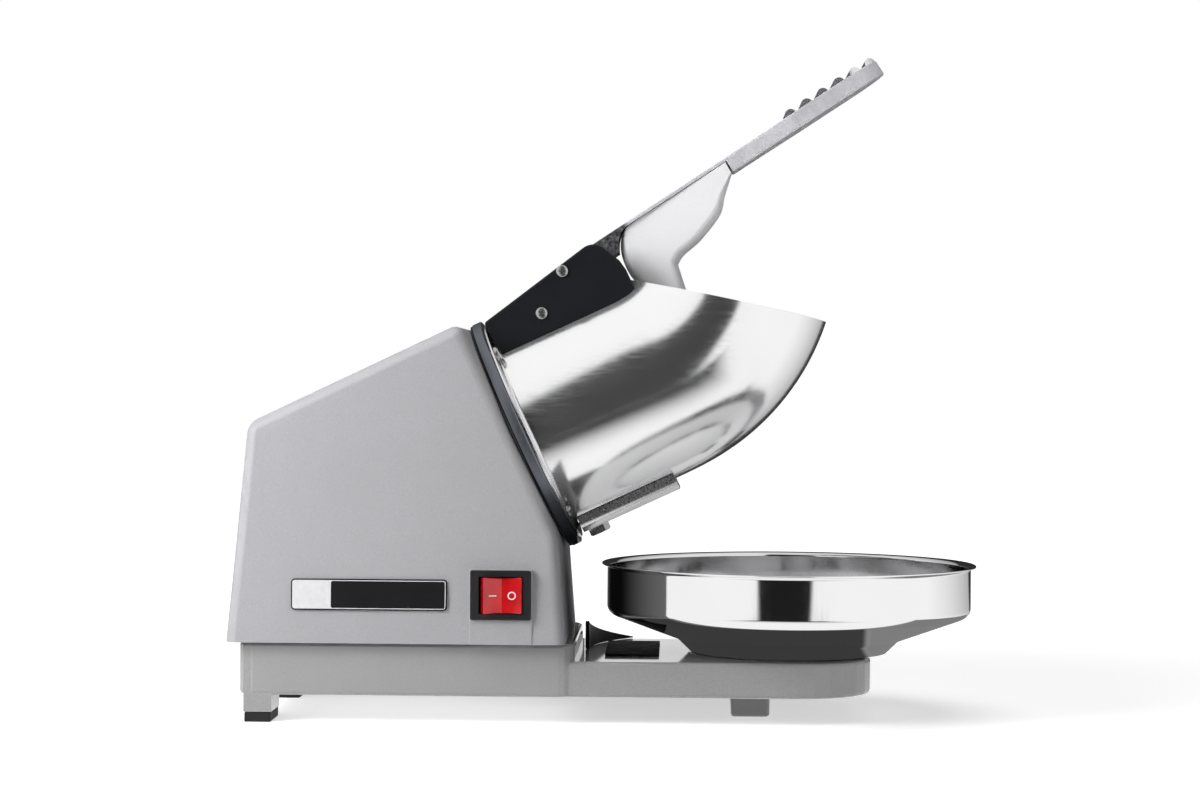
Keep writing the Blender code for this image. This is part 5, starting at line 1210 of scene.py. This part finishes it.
def presser():
    skin_at = ARM_TOP - SKIN_THICKNESS - GAP
    turn = math.radians(PLATE_TURN_DEG)
    normal = Vector((math.cos(turn), math.sin(turn)))
    along = Vector((-math.sin(turn), math.cos(turn)))
    middle = Vector(PLATE_CENTRE) + normal * (PLATE_THICKNESS / 2)
    rear_foot = middle + along * (PLATE_RADIUS * 0.5)
    front_foot = middle - along * (PLATE_RADIUS * 0.65)
    rear_edge = through([tuple(rear_foot), (NECK_BACK, -NECK_DROP - TRIM), (NECK_BACK, -NECK_DROP)], 12)
    front_edge = through([
        (GRIP_START - GAP, -ARM_BOTTOM),
        ((GRIP_START + WEB_ALONG) / 2 - WEB_BELLY, -(ARM_BOTTOM + WEB_DROP) / 2 - WEB_BELLY / 2),
        (WEB_ALONG, -WEB_DROP),
        ((WEB_ALONG + ELBOW_ALONG) / 2 - WEB_BELLY / 2, -(WEB_DROP + ELBOW_DROP) / 2 - WEB_BELLY),
        (ELBOW_ALONG, -ELBOW_DROP),
        (NECK_FRONT, -NECK_LOW),
        tuple(front_foot),
    ], 10)
    root = root_curve(-NECK_DROP, 0.0, skin_at, 40)
    outline = [*rear_edge, *root[1:], (GRIP_START - GAP, skin_at), *front_edge]

    def share(place):
        """A place's share of the rim's rounding: none under the arm and at the plate, little at the grip."""
        below_arm = (skin_at - place[1]) / PRESSER_BLEND
        before_grip = PRESSER_TIP_SHARE + (GRIP_START - place[0]) / (PRESSER_BLEND * 3)
        above_plate = (Vector(place) - middle).dot(normal) / (PRESSER_BLEND * 2)
        return max(0.0, min(1.0, below_arm, before_grip, above_plate))

    shares = [share(place) for place in outline]
    half = PRESSER_HALF_WIDTH
    body = make("presser_finished", slab(outline, -half, half, edge=PRESSER_EDGE, steps=8, shares=shares))
    rim = PLATE_RADIUS - PLATE_EDGE
    profile = [
        (0.0, 0.0),
        *arc((rim, PLATE_EDGE), PLATE_EDGE, 270.0, 360.0, 4),
        *arc((rim, PLATE_THICKNESS - PLATE_EDGE), PLATE_EDGE, 0.0, 90.0, 4),
        (0.0, PLATE_THICKNESS),
    ]
    centre = shifted(PLATE_CENTRE[0], 0.0, PLATE_CENTRE[1])
    join(body, placed(lathe(profile), centre @ turned(-PLATE_TURN_DEG, "Y") @ ALONG_X))
    piece(body, PRESSER_PAINTED_REFLECTION, "polished_stainless", "presser", body="lever", place=LEVER, smooth_deg=50.0)


# What stands on the platform

def platform_fittings():
    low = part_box("platform_pad")[0].z
    half = PAD_LENGTH / 2
    pad = rectangle((PAD_X - half, -PAD_WIDTH / 2), (PAD_X + half, PAD_WIDTH / 2), PAD_ROUNDING)
    pad = make("platform_pad_moulded", slab(pad, low, low + PAD_THICKNESS, "XY", GAP))
    piece(pad, PAD_RUBBER, "black_rubber", "platform_pad")
    end = 180.0 - GUARD_SWEEP_DEG
    centre = (BOWL_SEAT[0], 0.0)
    outline = arc(centre, GUARD_RADIUS + GUARD_THICKNESS, 180.0, end, 40)
    outline += arc(centre, GUARD_RADIUS, end, 180.0, 40)
    bm = slab(outline, low, low + GUARD_HEIGHT, "XY")
    fall = (GUARD_HEIGHT - GUARD_LOW_END) / (GUARD_RADIUS * math.sin(math.radians(GUARD_SWEEP_DEG)))
    for vert in bm.verts:
        if vert.co.z > low + GUARD_HEIGHT / 2:
            vert.co.z -= vert.co.y * fall
    guard = round_edges(make("splash_guard_moulded", bm), GUARD_EDGE, 3, 50.0)
    piece(guard, GUARD_PLASTIC, "black_plastic", "splash_guard")


def bowl():
    """The bowl: its outside up to the lip, a half circle over the lip, and its inside back down."""
    foot, step, shoulder, neck = BOWL_ROUNDINGS
    outside = rounded([
        (0.0, 0.0, 0.0),
        (BOWL_BOTTOM_RADIUS, 0.0, foot),
        (BOWL_STEP_RADIUS, BOWL_STEP_HEIGHT, step),
        (BOWL_WALL_RADIUS, BOWL_SHOULDER_HEIGHT, shoulder),
        (BOWL_WALL_RADIUS, BOWL_HEIGHT - BOWL_WALL * 1.7, neck),
        (BOWL_RADIUS - GAP * 1.6, BOWL_HEIGHT - BOWL_WALL, 0.0),
    ], 10, closed=False)
    inside = []
    for before, point, after in zip([outside[0], *outside], outside, [*outside[1:], outside[-1]]):
        run = (Vector(after) - Vector(before)).normalized()
        inside.append((point[0] - run.y * BOWL_WALL, point[1] + run.x * BOWL_WALL))
    middle = (Vector(outside[-1]) + Vector(inside[-1])) / 2
    lip = []
    for step in range(1, 6):
        spoke = Vector(outside[-1]) - middle
        spoke.rotate(Matrix.Rotation(math.pi * step / 6, 2))
        lip.append(tuple(middle + spoke))
    obj = make("bowl_spun", lathe([*outside, *lip, *reversed(inside)], 192))
    piece(obj, BOWL_STEEL, "polished_stainless", "bowl", body="bowl", smooth_deg=50.0)
    # The inside faces take the darker copy of the steel: painted shade
    obj.data.materials.append(BOWL_INSIDE_SHADED)
    for face in obj.data.polygons:
        outwards = Vector((face.center.x, face.center.y, 0.0)).normalized()
        floor_face = face.normal.z > 0.3 and face.center.z < BOWL_SHOULDER_HEIGHT
        if floor_face or face.normal.dot(outwards) < -0.1:
            face.material_index = 1
    obj.data.transform(Matrix.Translation(BOWL_SEAT))


# Studio

def floor_material():
    """A matt pale floor that stays white to the horizon and keeps its shadows; metal sees it as the room."""
    floor = Shader("studio_floor", (FLOOR_TONE,) * 3, 0.9, gloss=0.0, emission=WHITE)
    away = floor.node("VectorMath", {0: floor.place}, operation="LENGTH")
    glow = floor.spread(away.outputs["Value"], FLOOR_GLOW_NEAR, FLOOR_GLOW_FAR, *FLOOR_FADE)
    seen = floor.rays("Is Camera Ray", "Is Transmission Ray")
    floor.feed(floor.bsdf, {"Emission Strength": floor.maths("MULTIPLY", seen, glow)})
    direction = floor.node("VectorMath", {0: floor.place}, operation="NORMALIZE")
    room = floor.room_tone(direction.outputs["Vector"])
    floor.show(floor.rays("Is Glossy Ray"), floor.node("Emission", {"Color": room}))
    return floor.material


def stage_object(name, bm, material):
    obj = make(name, bm)
    obj.data.materials.append(material)
    return obj


def card(name, plane, level, outer, inner, tone, rim_tone=1.0, one_sided=False):
    """A flat card that only mirror-like surfaces see, its tone fading to the rim's between two outlines."""
    shader = Shader(name, (0.0, 0.0, 0.0), 0.5, gloss=0.0, emission=WHITE)
    fade = shader.node("Attribute", {}, attribute_name="fade").outputs["Fac"]
    glow = shader.spread(fade, tone, rim_tone, 0.0, 1.0, interpolation_type="SMOOTHSTEP")
    shader.feed(shader.bsdf, {"Emission Strength": glow})
    if one_sided:
        shader.show(shader.node("NewGeometry", {}).outputs["Backfacing"], shader.node("BsdfTransparent", {}))
    bm = bmesh.new()
    layer = bm.verts.layers.float.new("fade")
    rows = [[bm.verts.new(corner) for corner in lifted(plane, level, loop)] for loop in (outer, inner)]
    for vert in rows[0]:
        vert[layer] = 1.0
    bm.faces.new(rows[1])
    skin(bm, rows)
    obj = stage_object(name, bm, shader.material)
    obj.visible_camera = False
    obj.visible_diffuse = False
    obj.visible_shadow = False
    obj.visible_transmission = False


def front_cards():
    """The dark room behind the camera, seen as the dark bands along the barrel and the bowl."""
    def four_sided(first, first_left, first_right, second, second_left, second_right):
        return [(first_left, first), (first_right, first), (second_right, second), (second_left, second)]

    for name, (plane, level, outer, inner) in FRONT_CARDS.items():
        card(name, plane, level, four_sided(*outer), four_sided(*inner), CARD_TONE)


def near_cards():
    """Dark cards of painted shade between the casing and the bowl, under the bowl and beside the platform,
    and a white card of painted light behind the platform, as polished steel shows them.
    """
    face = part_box("casing")[1].x + SHADE_GAP
    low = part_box("platform_pad")[0].z + GAP
    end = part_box("base_casting")[1].x
    outer = rectangle(*CASING_SHADE_OUTER)
    card("painted_shade_before_casing", "YZ", face, outer, rectangle(*CASING_SHADE_INNER), *CASING_SHADE_TONES)
    outer = rectangle((face, -SHADE_HALF_WIDTH), (end, SHADE_HALF_WIDTH))
    inner = rectangle((face + SHADE_GAP * 2.5, -SHADE_CORE), (end - SHADE_GAP, SHADE_CORE))
    card("painted_shade_under_bowl", "XY", low, outer, inner, *PLATFORM_SHADE_TONES, True)
    outer = rectangle((end, -SHADE_HALF_WIDTH), (end + SHADE_BESIDE, SHADE_HALF_WIDTH))
    inner = rectangle((end + SHADE_GAP / 2, -SHADE_CORE), (end + SHADE_BESIDE, SHADE_CORE))
    card("painted_shade_beside_platform", "XY", low, outer, inner, *BESIDE_SHADE_TONES, True)
    white = rectangle((face, low), WHITE_CARD_END)
    inner = [(x * 0.999, z * 0.999) for x, z in white]
    card("painted_light_behind_platform", "XZ", WHITE_CARD_AT, white, inner, 1.0)


def studio():
    bm = bmesh.new()
    plan = rectangle((-FLOOR_REACH, -FLOOR_REACH), (FLOOR_REACH, FLOOR_REACH))
    bm.faces.new([bm.verts.new((x, y, 0.0)) for x, y in plan])
    stage_object("floor", bm, floor_material())
    front_cards()
    near_cards()


def lights():
    for name, place, size, power in LAMPS:
        light = bpy.data.lights.new(name, "AREA")
        light.shape = "SQUARE"
        light.size = size
        light.energy = power
        lamp = add(name, light)
        lamp.location = place
        lamp.rotation_euler = (Vector(LAMP_AIM) - Vector(place)).to_track_quat("-Z", "Y").to_euler()
        lamp.visible_glossy = False
        lamp.visible_camera = False


def world():
    """White for the camera, the room for metal, and an even light on everything else."""
    sky = bpy.data.worlds.new("studio_world")
    bpy.context.scene.world = sky
    sky.use_nodes = True
    nodes_of_sky = Nodes(sky.node_tree)
    room = nodes_of_sky.room_tone(nodes_of_sky.node("TexCoord", {}).outputs["Generated"])
    colour = nodes_of_sky.blend(nodes_of_sky.rays("Is Glossy Ray"), WHITE, room)
    seen = nodes_of_sky.rays("Is Camera Ray", "Is Glossy Ray", "Is Transmission Ray")
    strength = nodes_of_sky.spread(seen, WORLD_LIGHT, 1.0, 0.0, 1.0)
    nodes_of_sky.feed(sky.node_tree.nodes["Background"], {"Color": colour, "Strength": strength})


def camera():
    data = bpy.data.cameras.new("camera")
    data.sensor_fit = "HORIZONTAL"
    data.sensor_width = SENSOR_WIDTH_MM
    data.lens = FOCAL_PIXELS / PHOTO_WIDTH * SENSOR_WIDTH_MM
    data.clip_start = CAMERA_NEAR_END
    aim = turned(-CAMERA_YAW_DEG, "Z") @ turned(90.0 + CAMERA_PITCH_DEG, "X") @ turned(CAMERA_ROLL_DEG, "Z")
    obj = add("camera", data)
    obj.matrix_world = Matrix.Translation(CAMERA_PLACE) @ aim
    bpy.context.scene.camera = obj


for name, obj in nodes.items():
    dress(obj, NODE_MATERIALS.get(name, ZINC), 32.0)
casing()
nameplate()
switch()
mounting_ring()
barrel()
spout()
bracket()
screws()
lever_arm()
presser()
platform_fittings()
bowl()
studio()
lights()
world()
camera()
bpy.context.scene.view_settings.view_transform = "Standard"
bpy.context.view_layer.update()
